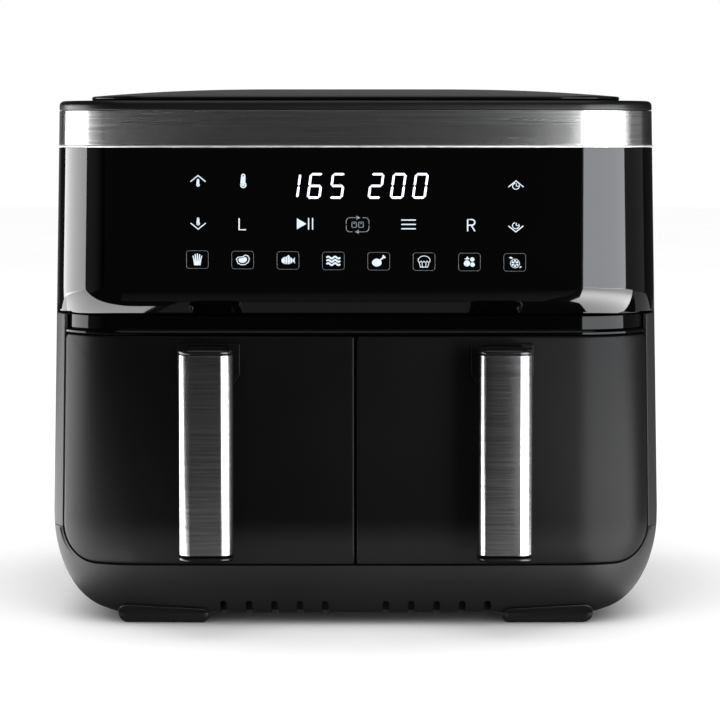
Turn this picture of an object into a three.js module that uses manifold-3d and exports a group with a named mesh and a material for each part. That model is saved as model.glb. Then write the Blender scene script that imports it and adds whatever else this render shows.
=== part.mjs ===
// Air fryer with two side-by-side drawers, built piece by piece as the real one comes apart.
// Millimetres, +Z up, front towards -Y, origin on the table under the middle of its bounding box.
import * as THREE from 'three';
import { mergeVertices } from 'three/addons/utils/BufferGeometryUtils.js';
import Module from 'manifold-3d';

const wasm = await Module();
wasm.setup();

// ---- driving dimensions: the body's outer form ----
const HALF_WIDTH = 194;
const WIDEST_Z = 67;
const BODY_TOP_Z = 323.7;
const TAPER = 5.2;
const FACE_Y = -139;
const REAR_Y = 180;
const BOW = 4;
const FRONT_RADIUS = 55;
const REAR_RADIUS = 45;
const BELLY_SIDE = 37;
const BELLY_FRONT = 28;
const BELLY_SIDE_RISE = 61;
const BELLY_FRONT_RISE = 45;
const BASE_BOTTOM_Z = 6.4;
const BASE_TOP_Z = 60;
const WALL = 2.5;
const GAP = 0.3;
const FOOT_REACH = 55;
const FOOT_OUTER_X = 150;
const FOOT_INNER_X = 93;
const VENT_FIRST_X = 19;
const VENT_PITCH = 16;
const VENTS_A_SIDE = 5;
const VENT_HALF = 2.25;
const VENT_ARCH_Z = 12.2;

// ---- driving dimensions: front, from the drawers up to the lid ----
const DRAWER_BOTTOM_Z = 41;
const DRAWER_TOP_Z = 183.5;
const DRAWER_INNER_X = 0.75;
const DRAWER_OUTER_X = 185;
const DRAWER_CORNER = 22;
const DRAWER_LEAN = 2.4;
const DRAWER_BACK_Y = -104.3;
const SLOT_WIDTH = 1.1;
const FASCIA_BOTTOM_Z = 184.5;
const FASCIA_RECESS = 3;
const PANEL_BOTTOM_Z = 195.9;
const PANEL_SIDE_Y = -92;
const BAND_BOTTOM_Z = 300.5;
const BAND_SHEET = 1.2;
const RIM_TOP_Z = 329.6;
const SIDE_SEAM_Y = 132;
const LID_HALF = 169;
const LID_FRONT_Y = -118;
const LID_REAR_Y = 152;
const LID_EDGE_Z = 332.6;
const LID_CROWN = 5.7;
const LID_DOME_RUN = 110;
const LID_CORNER = 42;

// ---- driving dimensions: handles ----
const HANDLE_X = 91;
const HANDLE_HALF = 16.65;
const HANDLE_FRONT_Y = -183;
const HANDLE_REAR_Y = -161;
const HANDLE_BOTTOM_Z = 49;
const HANDLE_TOP_Z = 178.5;
const STEEL_BOTTOM_Z = 53.4;
const STEEL_TOP_Z = 175.2;
const STEEL_THICKNESS = 1.1;
const PAD_HALF = 19.3;
const PAD_BOTTOM_Z = 153.5;
const PAD_CHAMFER_TOP_Z = 160;
const PAD_TOP_Z = 179;
const PAD_CHAMFER = 4;
const PAD_FACE_Y = -140.6;
const ARM_HALF = 13;
const ARM_BOTTOM_Z = 157;

// ---- driving dimensions: what is inside ----
const CAVITY_X = 91;
const CAVITY_HALF = 84;
const LINER_SHEET = 0.8;
const LINER_BOTTOM_Z = 40;
const LINER_TOP_Z = 186;
const LINER_FRONT_Y = -98.2;
const LINER_REAR_Y = 150;
const FRAME_FRONT_Y = -101.2;
const FRAME_BACK_Y = -98.5;
const PAN_HALF = 79;
const PAN_FLANGE = 2.5;
const PAN_REAR_Y = 139;
const PAN_BOTTOM_Z = 46;
const PAN_TOP_Z = 164;
const PAN_SHEET = 1.2;
const PAN_CORNER = 10;
const CRISPER_Z = 60.5;
const FAN_Y = 22;
const HOOD_RADIUS = 74;
const SHAFT_RADIUS = 3;
const PLUNGER_X = 3.2;
const PLUNGER_Z = 150;
const PLUNGER_RADIUS = 1.2;

// ---- driving dimensions: rear ----
const LOUVRE_X = 88;
const LOUVRE_HALF = 42;
const LOUVRE_BOTTOM_Z = 206;
const LOUVRE_PITCH = 11;
const LOUVRE_HEIGHT = 5;
const LOUVRES_A_SIDE = 7;
const GLAND_X = 118;
const GLAND_Z = 92;
const GLAND_HOLE_RADIUS = 9.4;

// Distances that lie clear of the whole machine, for tools that cut right through it.
const CLEAR = 220;
const CLEAR_Z = 400;

const CORNER_STEPS = 7;
const BOW_STEPS = 6;

// ---- materials ----
function material(color, roughness, metalness) {
  return new THREE.MeshStandardMaterial({ color, roughness, metalness });
}
const matteBlack = material(0x1c1c1e, 0.55, 0);
const softBlack = material(0x232325, 0.6, 0);
const glossBlack = material(0x050506, 0.06, 0);
const brushedSteel = material(0xb4b5b6, 0.3, 1);
const brightSteel = material(0xc2c3c4, 0.22, 1);
const coatedMetal = material(0x2a2a2c, 0.45, 0.4);
const galvanised = material(0x9b9d9f, 0.42, 0.9);
const rubber = material(0x17171a, 0.85, 0);
const boardGreen = material(0x1f4a33, 0.6, 0);
const paleNylon = material(0xd8d6cf, 0.5, 0);

// ---- solids from three.js geometry ----
function solidOf(geometry) {
  const bare = geometry.clone();
  bare.deleteAttribute('normal');
  bare.deleteAttribute('uv');
  const merged = mergeVertices(bare);
  const vertProperties = Float32Array.from(merged.attributes.position.array);
  const triVerts = Uint32Array.from(merged.index.array);
  return new wasm.Manifold(new wasm.Mesh({ numProp: 3, vertProperties, triVerts }));
}

function geometryOf(solid) {
  const mesh = solid.getMesh();
  const geometry = new THREE.BufferGeometry();
  geometry.setAttribute('position', new THREE.BufferAttribute(mesh.vertProperties, 3));
  geometry.setIndex(new THREE.BufferAttribute(mesh.triVerts, 1));
  geometry.computeVertexNormals();
  return geometry;
}

function unite(solids) {
  return solids.reduce((whole, next) => whole.add(next));
}

function cut(solid, tools) {
  return tools.reduce((rest, tool) => rest.subtract(tool), solid);
}

function boxSolid(x0, x1, y0, y1, z0, z1) {
  const geometry = new THREE.BoxGeometry(x1 - x0, y1 - y0, z1 - z0);
  geometry.translate((x0 + x1) / 2, (y0 + y1) / 2, (z0 + z1) / 2);
  return solidOf(geometry);
}

// A shape drawn in X and Z, carried through from y0 to y1.
function alongY(shape, y0, y1, curveSegments = 3) {
  const geometry = new THREE.ExtrudeGeometry(shape, { depth: y1 - y0, bevelEnabled: false, curveSegments });
  geometry.rotateX(Math.PI / 2);
  geometry.translate(0, y1, 0);
  return geometry;
}

// A shape drawn in X and Y, carried up from z0 to z1.
function alongZ(shape, z0, z1, curveSegments = 2) {
  const geometry = new THREE.ExtrudeGeometry(shape, { depth: z1 - z0, bevelEnabled: false, curveSegments });
  geometry.translate(0, 0, z0);
  return geometry;
}

// A profile of [radius, z] pairs turned about a vertical axis at x, y.
function turned(profile, x, y, segments = 20) {
  const geometry = new THREE.LatheGeometry(profile.map(([r, z]) => new THREE.Vector2(r, z)), segments);
  geometry.rotateX(Math.PI / 2);
  geometry.translate(x, y, 0);
  return solidOf(geometry);
}

function rodY(x, z, radius, y0, y1, segments = 10) {
  const geometry = new THREE.CylinderGeometry(radius, radius, y1 - y0, segments);
  geometry.translate(x, (y0 + y1) / 2, z);
  return solidOf(geometry);
}

// A rectangle with its own radius at each corner: low left, low right, high right, high left.
function roundedRect(x0, y0, x1, y1, [lowLeft, lowRight, highRight, highLeft]) {
  const shape = new THREE.Shape();
  const turn = Math.PI / 2;
  shape.absarc(x1 - lowRight, y0 + lowRight, lowRight, -turn, 0);
  shape.absarc(x1 - highRight, y1 - highRight, highRight, 0, turn);
  shape.absarc(x0 + highLeft, y1 - highLeft, highLeft, turn, 2 * turn);
  shape.absarc(x0 + lowLeft, y0 + lowLeft, lowLeft, 2 * turn, 3 * turn);
  shape.closePath();
  return shape;
}

// Rings of points stacked upwards and closed into one skin, with a flat cap at each end.
function loft(rings) {
  const count = rings[0].length;
  const index = [];
  for (let level = 0; level + 1 < rings.length; level += 1) {
    for (let i = 0; i < count; i += 1) {
      const a = level * count + i;
      const b = level * count + (i + 1) % count;
      index.push(a, b, b + count, a, b + count, a + count);
    }
  }
  const last = (rings.length - 1) * count;
  const flat = (ring) => ring.map((point) => new THREE.Vector2(point.x, point.y));
  for (const [a, b, c] of THREE.ShapeUtils.triangulateShape(flat(rings[0]), [])) {
    index.push(a, c, b);
  }
  for (const [a, b, c] of THREE.ShapeUtils.triangulateShape(flat(rings.at(-1)), [])) {
    index.push(last + a, last + b, last + c);
  }
  const geometry = new THREE.BufferGeometry();
  geometry.setFromPoints(rings.flat());
  geometry.setIndex(index);
  return solidOf(geometry);
}

// ---- the body's outer form ----
function quarterDrop(t) {
  return 1 - Math.sqrt(Math.max(0, 1 - t * t));
}

// How far the sides lie inside the widest outline at a height.
function sideInset(z) {
  if (z >= WIDEST_Z) {
    return TAPER * (z - WIDEST_Z) / (BODY_TOP_Z - WIDEST_Z);
  }
  return BELLY_SIDE * quarterDrop((WIDEST_Z - z) / BELLY_SIDE_RISE);
}

// How far the front and the rear lie inside it: only the base curves in.
function faceInset(z) {
  const below = Math.max(0, BASE_BOTTOM_Z + BELLY_FRONT_RISE - z);
  return BELLY_FRONT * quarterDrop(Math.min(0.98, below / BELLY_FRONT_RISE));
}

// A rectangle with elliptic corners as a ring of points, its front bowed outwards in the middle.
function planRing(z, half, front, rear, [frontRx, frontRy], [rearRx, rearRy]) {
  const points = [];
  const corner = (cx, cy, rx, ry, start) => {
    for (let i = 0; i <= CORNER_STEPS; i += 1) {
      const angle = start + (Math.PI / 2) * (i / CORNER_STEPS);
      points.push(new THREE.Vector3(cx + rx * Math.cos(angle), cy + ry * Math.sin(angle), z));
    }
  };
  corner(half - frontRx, front + frontRy, frontRx, frontRy, -Math.PI / 2);
  corner(half - rearRx, rear - rearRy, rearRx, rearRy, 0);
  corner(rearRx - half, rear - rearRy, rearRx, rearRy, Math.PI / 2);
  corner(frontRx - half, front + frontRy, frontRx, frontRy, Math.PI);
  for (let i = 1; i < BOW_STEPS; i += 1) {
    points.push(new THREE.Vector3((half - frontRx) * (2 * i / BOW_STEPS - 1), front, z));
  }
  for (const point of points) {
    point.y += point.y < 0 ? BOW * (point.x / HALF_WIDTH) ** 2 : 0;
  }
  return points;
}

function bodyRing(z, side, face) {
  const front = [FRONT_RADIUS - side, FRONT_RADIUS - face];
  const rear = [REAR_RADIUS - side, REAR_RADIUS - face];
  return planRing(z, HALF_WIDTH - side, FACE_Y + face, REAR_Y - face, front, rear);
}

// The body's outer form between heights, moved inwards by `inside` (outwards where it is negative).
function bodySolid(heights, inside = 0) {
  return loft(heights.map((z) => bodyRing(z, sideInset(z) + inside, faceInset(z) + inside)));
}

// Drawer sides lean in a little towards the top, as the housing does.
function leaned(geometry) {
  const place = geometry.attributes.position;
  for (let i = 0; i < place.count; i += 1) {
    const rise = (place.getZ(i) - DRAWER_BOTTOM_Z) / (DRAWER_TOP_Z - DRAWER_BOTTOM_Z);
    place.setX(i, place.getX(i) * (1 - rise * DRAWER_LEAN / DRAWER_OUTER_X));
  }
  return geometry;
}

// The window in the housing that both drawers fill, with rounded lower corners.
function drawerWindow(top, y0, y1, shrink = 0) {
  const half = DRAWER_OUTER_X + SLOT_WIDTH - shrink;
  const low = DRAWER_BOTTOM_Z - SLOT_WIDTH + shrink;
  const round = DRAWER_CORNER + SLOT_WIDTH - shrink;
  return solidOf(leaned(alongY(roundedRect(-half, low, half, top, [round, round, 1, 1]), y0, y1)));
}

const BELLY_HEIGHTS = [BASE_BOTTOM_Z, 8.5, 12, 18, 26, 38, BASE_TOP_Z];

// ---- housing ----
function ventSlot(x) {
  const shape = new THREE.Shape();
  shape.moveTo(x - VENT_HALF, 0);
  shape.lineTo(x + VENT_HALF, 0);
  shape.absarc(x, VENT_ARCH_Z, VENT_HALF, 0, Math.PI);
  shape.closePath();
  return solidOf(alongY(shape, FACE_Y - 11, FACE_Y + 31, 2));
}

// Tub with a shelf under the drawers, arched air slots at the front and sockets for the feet.
function baseShell() {
  const outer = bodySolid(BELLY_HEIGHTS);
  const innerRing = (z) => bodyRing(z, sideInset(z - WALL) + WALL, faceInset(z - WALL) + WALL);
  const shelfUnder = DRAWER_BOTTOM_Z - SLOT_WIDTH - WALL;
  const innerHeights = [BASE_BOTTOM_Z + WALL + 0.1, 13, 21, shelfUnder];
  const low = loft(innerHeights.map(innerRing));
  const high = loft([...innerHeights, BASE_TOP_Z + 4].map(innerRing));
  const behindFront = boxSolid(-CLEAR, CLEAR, FRAME_BACK_Y + GAP, CLEAR, 0, BASE_TOP_Z + 10);
  const slots = [];
  for (const side of [-1, 1]) {
    for (let i = 0; i < VENTS_A_SIDE; i += 1) {
      slots.push(ventSlot(side * (VENT_FIRST_X + VENT_PITCH * i)));
    }
  }
  const window = drawerWindow(BASE_TOP_Z + 20, -CLEAR, FRAME_BACK_Y + GAP);
  return cut(outer, [low, high.intersect(behindFront), window, ...slots]);
}

// Pebble-shaped foot that wraps the lower edge of the base at the front or the rear.
function foot(end) {
  const shape = new THREE.Shape();
  const outerEnd = 6.4;
  const innerEnd = 4.5;
  const slopeRun = 20;
  const slopeTop = 11;
  const ahead = 11;
  shape.absarc(FOOT_OUTER_X - outerEnd, outerEnd, outerEnd, -Math.PI / 2, Math.PI / 2);
  shape.lineTo(FOOT_OUTER_X - slopeRun, slopeTop);
  shape.absarc(FOOT_INNER_X + innerEnd, innerEnd, innerEnd, Math.PI / 2, 1.5 * Math.PI);
  shape.closePath();
  const [y0, y1] = end < 0 ? [FACE_Y - ahead, FACE_Y + FOOT_REACH] : [REAR_Y - FOOT_REACH, REAR_Y + ahead];
  const skin = loft([0, 3, BASE_BOTTOM_Z, 9, 13.5].map((z) => {
    const swell = 3 - 4 * quarterDrop(Math.max(0, 1 - z / 6));
    return bodyRing(z, 0, faceInset(Math.max(z, BASE_BOTTOM_Z)) - swell);
  }));
  const clear = bodySolid(BELLY_HEIGHTS.map((z, i) => (i === 0 ? z - GAP : z)), -GAP);
  return solidOf(alongY(shape, y0, y1)).intersect(skin).subtract(clear);
}

// Mirror image in X, with its faces turned the right way out again.
function mirrored(geometry) {
  const copy = geometry.clone();
  copy.scale(-1, 1, 1);
  const order = copy.index.array;
  for (let i = 0; i < order.length; i += 3) {
    [order[i], order[i + 1]] = [order[i + 1], order[i]];
  }
  copy.computeVertexNormals();
  return copy;
}

const HOUSING_HEIGHTS = [BASE_TOP_Z + GAP, WIDEST_Z, BAND_BOTTOM_Z - GAP];

function housingWall() {
  const hollow = bodySolid([BASE_TOP_Z - 5, WIDEST_Z, BAND_BOTTOM_Z + 4.5], WALL);
  return bodySolid(HOUSING_HEIGHTS).subtract(hollow);
}

// Side skin: the flank beside the drawer at the front, and back to the rear cover's seam.
function sidePanel() {
  const keep = boxSolid(0, CLEAR, -CLEAR, SIDE_SEAM_Y, 0, CLEAR_Z);
  const window = drawerWindow(PANEL_BOTTOM_Z, -CLEAR, FRAME_BACK_Y + GAP);
  const panelPlace = boxSolid(-CLEAR, CLEAR, -CLEAR, PANEL_SIDE_Y + GAP, PANEL_BOTTOM_Z - GAP, CLEAR_Z);
  return cut(housingWall().intersect(keep), [window, panelPlace]);
}

// Rear skin with rounded corners, two louvred outlets and the hole for the cord gland.
function rearCover() {
  const behind = boxSolid(-CLEAR, CLEAR, SIDE_SEAM_Y + GAP, CLEAR, 0, CLEAR_Z);
  const inner = REAR_Y - 20;
  const louvres = [];
  for (const side of [-1, 1]) {
    const x = side * LOUVRE_X;
    for (let i = 0; i < LOUVRES_A_SIDE; i += 1) {
      const z = LOUVRE_BOTTOM_Z + LOUVRE_PITCH * i;
      louvres.push(boxSolid(x - LOUVRE_HALF, x + LOUVRE_HALF, inner, CLEAR, z, z + LOUVRE_HEIGHT));
    }
  }
  const glandHole = rodY(GLAND_X, GLAND_Z, GLAND_HOLE_RADIUS, inner, CLEAR, 16);
  return cut(housingWall().intersect(behind), [...louvres, glandHole]);
}

// Bushing where the mains lead enters; its waist sits in the rear cover's hole.
function cordGland() {
  const profile = [[3.6, -9], [12, -9], [12, -3.1], [9, -3.1], [9, 0.3], [12.5, 0.3], [11.5, 3], [3.6, 3]];
  const geometry = new THREE.LatheGeometry(
    [...profile, profile[0]].map(([r, y]) => new THREE.Vector2(r, y)), 16);
  geometry.translate(GLAND_X, REAR_Y, GLAND_Z);
  return solidOf(geometry);
}

// Glossy front cover above the drawers, wrapped round both front corners, its lower edge rolled in.
function controlPanel() {
  const roll = [[0, 4.5], [1.2, 1.7], [3, 0.4], [5.5, 0]];
  const rings = roll.map(([rise, inside]) => {
    const z = PANEL_BOTTOM_Z + rise;
    return bodyRing(z, sideInset(z) + inside, inside);
  });
  const top = BAND_BOTTOM_Z - GAP;
  const outer = loft([...rings, bodyRing(top, sideInset(top), 0)]);
  const keep = boxSolid(-CLEAR, CLEAR, -CLEAR, PANEL_SIDE_Y, 0, CLEAR_Z);
  const hollow = bodySolid([PANEL_BOTTOM_Z + 5, top - 3], 3);
  const through = bodySolid([PANEL_BOTTOM_Z - 5, top + 5], 12);
  return cut(outer.intersect(keep), [hollow, through]);
}

// Circuit board behind the touch area, with the connector and the sounder on its back.
function displayBoard() {
  const half = 118;
  const frontY = -131;
  const backY = frontY + 1.6;
  const board = boxSolid(-half, half, frontY, backY, 206, 292);
  const connector = boxSolid(-20, 20, backY - 0.2, backY + 7.4, 210, 222);
  const sounder = rodY(70, 226, 8, backY - 0.2, backY + 9.4);
  return unite([board, connector, sounder]);
}

// Glossy strip set back between the control panel and the drawers.
function lowerFascia() {
  const top = PANEL_BOTTOM_Z - GAP;
  const ring = (z, inside) => bodyRing(z, sideInset(z) + inside, inside);
  const lip = [[FASCIA_BOTTOM_Z, 0.8], [FASCIA_BOTTOM_Z + 1.6, 0.8], [FASCIA_BOTTOM_Z + 3, FASCIA_RECESS]];
  const outer = loft([...lip, [top, FASCIA_RECESS]].map(([z, inside]) => ring(z, inside)));
  const window = drawerWindow(top + 1, -CLEAR, FRAME_FRONT_Y - GAP, GAP);
  const hollow = bodySolid([FASCIA_BOTTOM_Z + 2, top - 2], FASCIA_RECESS + WALL);
  return outer.intersect(window).subtract(hollow);
}

// Plate behind the drawer faces with one opening for each pan and a hole for each switch plunger.
function frontFrame() {
  const plate = drawerWindow(PANEL_BOTTOM_Z - GAP, FRAME_FRONT_Y, FRAME_BACK_Y, 0.8);
  const openingBottom = PAN_BOTTOM_Z - 2.5;
  const openingTop = PAN_TOP_Z + 8;
  const before = FRAME_FRONT_Y - 9;
  const behind = FRAME_BACK_Y + 9;
  const tools = [];
  for (const side of [-1, 1]) {
    const x = side * CAVITY_X;
    const shape = roundedRect(x - CAVITY_HALF, openingBottom, x + CAVITY_HALF, openingTop, [5, 5, 5, 5]);
    tools.push(solidOf(alongY(shape, before, behind, 2)));
    tools.push(rodY(side * PLUNGER_X, PLUNGER_Z, PLUNGER_RADIUS + 0.5, before, behind));
  }
  return cut(plate, tools);
}

// Brushed steel band round the top of the body.
function trimBand() {
  const inner = bodySolid([BAND_BOTTOM_Z - 5, BODY_TOP_Z + 5], BAND_SHEET);
  return bodySolid([BAND_BOTTOM_Z, BODY_TOP_Z - GAP]).subtract(inner);
}

// Tray-shaped top moulding with a rounded upper edge.
function topRim() {
  const edge = [[0, 0], [3.2, 0], [5, 1.3], [RIM_TOP_Z - BODY_TOP_Z, 4]];
  const outer = loft(edge.map(([rise, inside]) => {
    const z = BODY_TOP_Z + rise;
    return bodyRing(z, sideInset(BODY_TOP_Z) + inside, inside);
  }));
  return outer.subtract(bodySolid([BODY_TOP_Z - 3, RIM_TOP_Z - 3], 3));
}

// Shallow domed lid plate on the top moulding.
function topLid() {
  const ring = (z, inside) => {
    const radius = Math.max(6, LID_CORNER - inside);
    const corner = [radius, radius];
    return planRing(z, LID_HALF - inside, LID_FRONT_Y + inside, LID_REAR_Y - inside, corner, corner);
  };
  const rings = [ring(RIM_TOP_Z + GAP, 1.2), ring(LID_EDGE_Z - 1, 0)];
  for (const inside of [0.8, 16, 40, LID_DOME_RUN]) {
    const rise = 1 - (1 - inside / LID_DOME_RUN) ** 2;
    rings.push(ring(LID_EDGE_Z + LID_CROWN * rise, inside));
  }
  return loft(rings);
}

// ---- drawers ----
// Drawer face moulding: a curved skin with flanges, open at the back.
function drawerFront() {
  const face = (inside, y1) => {
    const shape = roundedRect(
      DRAWER_INNER_X + inside, DRAWER_BOTTOM_Z + inside, DRAWER_OUTER_X - inside, DRAWER_TOP_Z - inside,
      [1.2, DRAWER_CORNER - inside, 3.2, 1.2]);
    return solidOf(leaned(alongY(shape, -CLEAR, y1)));
  };
  const thickness = 3;
  const heights = [DRAWER_BOTTOM_Z - 3, DRAWER_BOTTOM_Z + 5, WIDEST_Z, DRAWER_TOP_Z + 16];
  const skin = bodySolid(heights).intersect(face(0, DRAWER_BACK_Y));
  return skin.subtract(bodySolid(heights, thickness).intersect(face(thickness, DRAWER_BACK_Y + 14)));
}

// Flat plate that closes the drawer face and carries the pan.
function drawerInnerPanel() {
  const low = DRAWER_BOTTOM_Z + 2;
  const high = DRAWER_TOP_Z - 2.5;
  const shape = roundedRect(DRAWER_INNER_X + 0.85, low, DRAWER_OUTER_X - 5, high, [2, 20, 4, 2]);
  return solidOf(leaned(alongY(shape, DRAWER_BACK_Y + GAP, FRAME_FRONT_Y - 0.4, 2)));
}

function panRing(z, inside) {
  const half = PAN_HALF - inside;
  const front = FRAME_FRONT_Y - 0.1 + PAN_FLANGE + inside;
  const radius = PAN_CORNER - Math.min(8, inside);
  const shape = roundedRect(
    CAVITY_X - half, front, CAVITY_X + half, PAN_REAR_Y - inside, [radius, radius, radius, radius]);
  return shape.getPoints(2).slice(0, -1).map((point) => new THREE.Vector3(point.x, point.y, z));
}

// Deep pan with rounded lower edges and a narrow rolled flange.
function pan() {
  const outer = loft([
    panRing(PAN_BOTTOM_Z, 7), panRing(PAN_BOTTOM_Z + 4, 3),
    panRing(PAN_TOP_Z - 2, 0), panRing(PAN_TOP_Z - 2, -PAN_FLANGE), panRing(PAN_TOP_Z, -PAN_FLANGE)]);
  const floor = PAN_BOTTOM_Z + PAN_SHEET;
  const inner = loft([
    panRing(floor, 8), panRing(floor + 4, 4.6), panRing(PAN_TOP_Z + 1, PAN_SHEET)]);
  return outer.subtract(inner);
}

// Handle mount: a pad on the drawer face and the arm that carries the grip.
function handlePad() {
  const shape = new THREE.Shape();
  shape.moveTo(HANDLE_X - PAD_HALF, PAD_TOP_Z);
  shape.lineTo(HANDLE_X - PAD_HALF, PAD_CHAMFER_TOP_Z);
  shape.lineTo(HANDLE_X - PAD_HALF + PAD_CHAMFER, PAD_BOTTOM_Z);
  shape.lineTo(HANDLE_X + PAD_HALF - PAD_CHAMFER, PAD_BOTTOM_Z);
  shape.lineTo(HANDLE_X + PAD_HALF, PAD_CHAMFER_TOP_Z);
  shape.lineTo(HANDLE_X + PAD_HALF, PAD_TOP_Z);
  shape.closePath();
  const pad = solidOf(alongY(shape, PAD_FACE_Y, FACE_Y + 9));
  const armShape = roundedRect(
    HANDLE_X - ARM_HALF, ARM_BOTTOM_Z, HANDLE_X + ARM_HALF, PAD_TOP_Z - 0.8, [6, 6, 2, 2]);
  const arm = solidOf(alongY(armShape, HANDLE_REAR_Y + GAP, FACE_Y, 2));
  return unite([pad, arm]).subtract(bodySolid([100, 200], -GAP));
}

// Plan section of the handle, flat in front with soft corners; `inside` leaves room for the steel.
function handleRing(z, inside, rear = HANDLE_REAR_Y) {
  const half = HANDLE_HALF - inside;
  const points = [];
  const corner = (cx, cy, rx, ry, start, steps) => {
    for (let i = 0; i <= steps; i += 1) {
      const angle = start + (Math.PI / 2) * (i / steps);
      points.push(new THREE.Vector3(HANDLE_X + cx + rx * Math.cos(angle), cy + ry * Math.sin(angle), z));
    }
  };
  const front = HANDLE_FRONT_Y + inside;
  const [wide, deep] = [8, 9];
  const back = 4;
  corner(half - wide, front + deep, wide, deep, -Math.PI / 2, 5);
  corner(half - back, rear - back, back, back, 0, 2);
  corner(back - half, rear - back, back, back, Math.PI / 2, 2);
  corner(wide - half, front + deep, wide, deep, Math.PI, 5);
  return points;
}

// Grip core with a lip above and below the steel sleeve.
function handleGrip() {
  const room = STEEL_THICKNESS + GAP;
  const lowLip = STEEL_BOTTOM_Z - 1.6;
  const highLip = STEEL_TOP_Z + 0.4;
  return loft([
    handleRing(HANDLE_BOTTOM_Z, 1.2), handleRing(HANDLE_BOTTOM_Z + 1, 0), handleRing(lowLip, 0),
    handleRing(lowLip, room), handleRing(highLip, room), handleRing(highLip, 0),
    handleRing(HANDLE_TOP_Z - 1, 0), handleRing(HANDLE_TOP_Z, 1.2)]);
}

// Steel sleeve over the front and sides of the grip.
function handleTrim() {
  const rear = HANDLE_REAR_Y + 6;
  const outer = loft([handleRing(STEEL_BOTTOM_Z, 0, rear), handleRing(STEEL_TOP_Z, 0, rear)]);
  const inner = loft([handleRing(0, STEEL_THICKNESS, rear), handleRing(CLEAR_Z, STEEL_THICKNESS, rear)]);
  return cut(outer, [inner, boxSolid(0, CLEAR, HANDLE_REAR_Y - 5, FACE_Y, 0, CLEAR_Z)]);
}

// Slotted plate that the food stands on.
function crisperPlate() {
  const half = PAN_HALF - 5;
  const front = FRAME_FRONT_Y + 8;
  const rear = PAN_REAR_Y - 5;
  const thickness = 2;
  const plate = roundedRect(CAVITY_X - half, front, CAVITY_X + half, rear, [12, 12, 12, 12]);
  const columns = 4;
  const rows = 6;
  const columnPitch = 32;
  const rowPitch = 34;
  const slotHalf = 4;
  const slotReach = 11;
  const tools = [];
  for (let i = 0; i < columns; i += 1) {
    for (let j = 0; j < rows; j += 1) {
      const x = CAVITY_X + (i - (columns - 1) / 2) * columnPitch;
      const y = (front + rear) / 2 + (j - (rows - 1) / 2) * rowPitch;
      const [z0, z1] = [CRISPER_Z - 5, CRISPER_Z + 5];
      tools.push(boxSolid(x - slotHalf, x + slotHalf, y - slotReach, y + slotReach, z0, z1));
    }
  }
  return cut(solidOf(alongZ(plate, CRISPER_Z, CRISPER_Z + thickness)), tools);
}

// Soft block under a corner of the crisper plate.
function crisperBumper(sideX, end) {
  const x = CAVITY_X + sideX * (PAN_HALF - 19);
  const y = end > 0 ? PAN_REAR_Y - 20 : FRAME_FRONT_Y + 23;
  const [halfX, halfY] = [7, 4];
  const shape = roundedRect(x - halfX, y - halfY, x + halfX, y + halfY, [3, 3, 3, 3]);
  return solidOf(alongZ(shape, PAN_BOTTOM_Z + PAN_SHEET + GAP, CRISPER_Z - GAP, 1));
}

// ---- inside the housing ----
// Sheet-metal cavity, open at the front, with two runners and a round hole in its roof.
function cavityLiner() {
  const half = CAVITY_HALF + LINER_SHEET;
  const x0 = CAVITY_X - half;
  const x1 = CAVITY_X + half;
  const outer = boxSolid(x0, x1, LINER_FRONT_Y, LINER_REAR_Y, LINER_BOTTOM_Z, LINER_TOP_Z);
  const inner = boxSolid(
    x0 + LINER_SHEET, x1 - LINER_SHEET, LINER_FRONT_Y - 5, LINER_REAR_Y - LINER_SHEET,
    LINER_BOTTOM_Z + LINER_SHEET, LINER_TOP_Z - LINER_SHEET);
  const holeRadius = HOOD_RADIUS - 4;
  const [under, over] = [LINER_TOP_Z - 16, LINER_TOP_Z + 14];
  const hole = turned([[0, under], [holeRadius, under], [holeRadius, over], [0, over]], CAVITY_X, FAN_Y);
  const runnerReach = 55;
  const runnerHalf = 4;
  const runners = [-runnerReach, runnerReach].map((dx) => boxSolid(
    CAVITY_X + dx - runnerHalf, CAVITY_X + dx + runnerHalf, LINER_FRONT_Y + 2, PAN_REAR_Y,
    LINER_BOTTOM_Z + 0.5, PAN_BOTTOM_Z - GAP));
  return unite([cut(outer, [inner, hole]), ...runners]);
}

// Deep-drawn hood over the heater and the hot-air fan, with the shaft hole in its crown.
function heaterHood() {
  const r = HOOD_RADIUS;
  const sheet = 1.5;
  const flange = 6;
  const under = LINER_TOP_Z + GAP;
  const crown = 232;
  const shoulder = 223.4;
  const bore = SHAFT_RADIUS + 2;
  return turned([
    [r + flange, under], [r + flange, under + sheet], [r + sheet, under + sheet], [r + sheet, shoulder + 0.6],
    [r - 8, crown + sheet], [bore, crown + sheet], [bore, crown], [r - 8.6, crown], [r, shoulder], [r, under],
    [r + flange, under]], CAVITY_X, FAN_Y, 24);
}

// Wire guard under the heater: a ring, an inner ring and six bars.
function elementGuard() {
  const z0 = LINER_TOP_Z - LINER_SHEET;
  const z1 = LINER_TOP_Z;
  const hoop = (outer, inner) => turned(
    [[inner, z0], [outer, z0], [outer, z1], [inner, z1], [inner, z0]], CAVITY_X, FAN_Y);
  const barLength = 130;
  const barWidth = 2;
  const bars = [0, 60, 120].map((degrees) => {
    const geometry = new THREE.BoxGeometry(barLength, barWidth, z1 - z0);
    geometry.rotateZ(THREE.MathUtils.degToRad(degrees));
    geometry.translate(CAVITY_X, FAN_Y, (z0 + z1) / 2);
    return solidOf(geometry);
  });
  return unite([hoop(69.4, 65), hoop(38, 35), ...bars]);
}

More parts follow.
